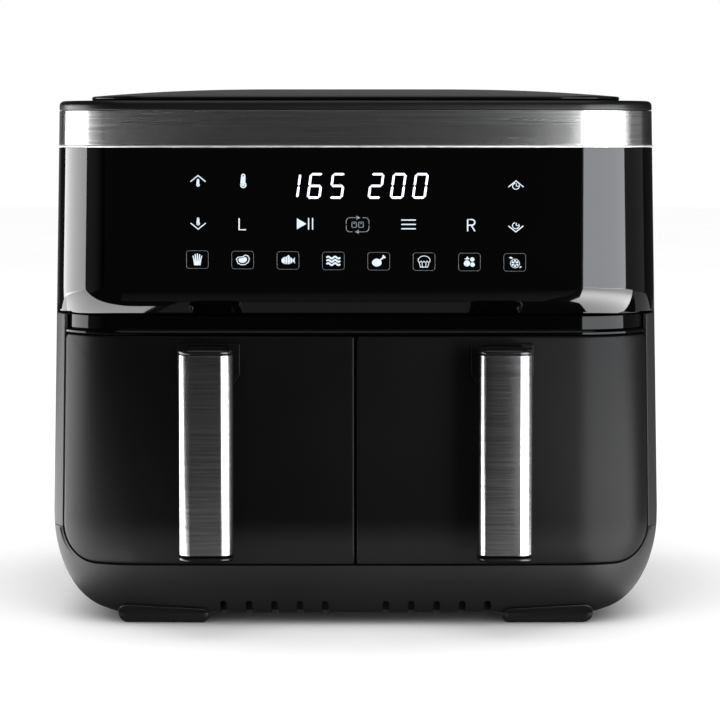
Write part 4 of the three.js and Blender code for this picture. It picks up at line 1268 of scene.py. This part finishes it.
def softbox(name, centre, target, width, height, radiance, colour=(1, 1, 1)):
    """Rectangular light facing its target; radiance is what a mirror would show of it."""
    data = bpy.data.lights.new(name, "AREA")
    data.shape = "RECTANGLE"
    data.size, data.size_y = width, height
    data.energy = radiance * 4 * width * height
    data.color = colour
    light = bpy.data.objects.new(name, data)
    light.location = centre
    light.rotation_euler = (Vector(target) - Vector(centre)).to_track_quat("-Z", "Y").to_euler()
    light.visible_camera = False
    bpy.context.scene.collection.objects.link(light)
    return light


def wall_light(name, side, near, far, distance, low, high, radiance, colour=(1, 1, 1)):
    """Upright softbox seen between two directions, in degrees round from the front."""
    ends = [Vector((side * sin(radians(a)), -cos(radians(a)), 0)) * distance for a in (near, far)]
    corner = Vector((side * 0.17, -0.1, (low + high) / 2))
    middle = (ends[0] + ends[1]) / 2 + corner
    across = (ends[1] - ends[0]).length
    light = softbox(name, middle, corner, across, high - low, radiance, colour)
    light.visible_diffuse = False


def studio():
    """What lights the machine, and what its glossy parts mirror: the table by direction, walls, softboxes."""
    stage_floor()
    left = [(0.3, 7.0), (0.6, 6.2), (1.5, 4.5)]
    right = [(0.3, 6.0), (0.75, 13.0), (1.4, 5.5)]
    for name, stops, corners in (
        ("left", left, [(-1.6, -0.36), (-0.16, -0.34), (-0.16, -0.215), (-1.6, -0.215)]),
        ("far_left", left, [(-1.6, -0.215), (-0.21, -0.215), (-0.4, 0.1), (-1.6, 0.8)]),
        ("behind_left", [(0, 3.0)], [(-0.4, 0.1), (-0.21, -0.215), (-0.19, 0.8), (-1.6, 0.8)]),
        ("right", right, [(0.21, -0.25), (0.185, -0.46), (0.52, -1.7), (1.7, -0.6), (1.7, -0.25)]),
        ("side_right", right, [(0.19, -0.25), (1.7, -0.25), (1.7, 0.0), (0.19, -0.15)]),
        ("near_right", [(0, 1.8)], [(0.185, -0.14), (0.45, -0.12), (0.45, 0.1), (0.185, 0.1)]),
        ("far_right", [(0, 0.4)], [(0.45, 0.02), (1.6, 0.02), (1.6, 0.9), (0.45, 0.9)]),
        ("front", [(0.5, 0.13), (1.1, 0.01)], [(-0.5, -1.1), (0.3, -1.1), (0.16, -0.45), (-0.3, -0.45)]),
        ("near_front", [(0, 0.22)], [(-0.15, -0.44), (0.12, -0.44), (0.11, -0.25), (-0.15, -0.25)]),
    ):
        bright_card("table_" + name, [(x, y, 0.5 * MM) for x, y in corners], stops)
    for name, stops, (x0, y0), (x1, y1), low, high in (
        ("backdrop", [(0, 0.1)], (-1.2, 1.6), (0.35, 1.6), 0, 2.0),
        ("right_wall", [(0, 0.2)], (0.72, -3.0), (3.0, -2.4), -0.5, 2.5),
        ("right_end", [(0, 0.2)], (3.0, -2.4), (3.0, 1.6), -0.5, 2.5),
        ("left_wall", [(1.4, 0.2), (2.6, 0.0)], (-1.35, -0.35), (-2.2, -1.9), -0.1, 1.5),
    ):
        bright_card(name, [(x0, y0, low), (x1, y1, low), (x1, y1, high), (x0, y0, high)], stops)
    wall_light("light_left", -1, 80, 130, 1.5, -0.1, 0.5, 4.8)
    wall_light("light_right", 1, 12, 80, 1.6, -0.1, 0.66, 5.0, (0.93, 0.96, 1.0))
    softbox("light_top", (0, -0.2, 2.0), (0, -0.1, 0.3), 1.6, 1.6, 0.7)
    fill = softbox("light_fill", (0, -1.5, 2.2), (0, -0.1, 0), 2.4, 1.4, 1.5)
    fill.visible_glossy = False
    sky = Shade(bpy.data.worlds.new("studio"), "Background")
    seen = [sky.remap(sky.add("LightPath", ray), low, high)
            for ray, low, high in (("Is Camera Ray", 0.0, 1.0), ("Is Diffuse Ray", 0.03, 1.08))]
    bpy.context.scene.world = sky.finish(Strength=sky.add("Math", 0, *seen), Color=(1, 1, 1))


def camera():
    data = bpy.data.cameras.new("camera")
    data.lens = 130.9
    data.sensor_width = 36
    data.shift_y = -0.10
    eye = bpy.data.objects.new("camera", data)
    eye.location = (2.8 * MM, -1757 * MM, 310.6 * MM)
    eye.rotation_euler = (radians(90 - 3.43), 0, 0)
    bpy.context.scene.collection.objects.link(eye)
    bpy.context.scene.camera = eye


studio()
camera()
bpy.context.scene.view_settings.view_transform = "Standard"
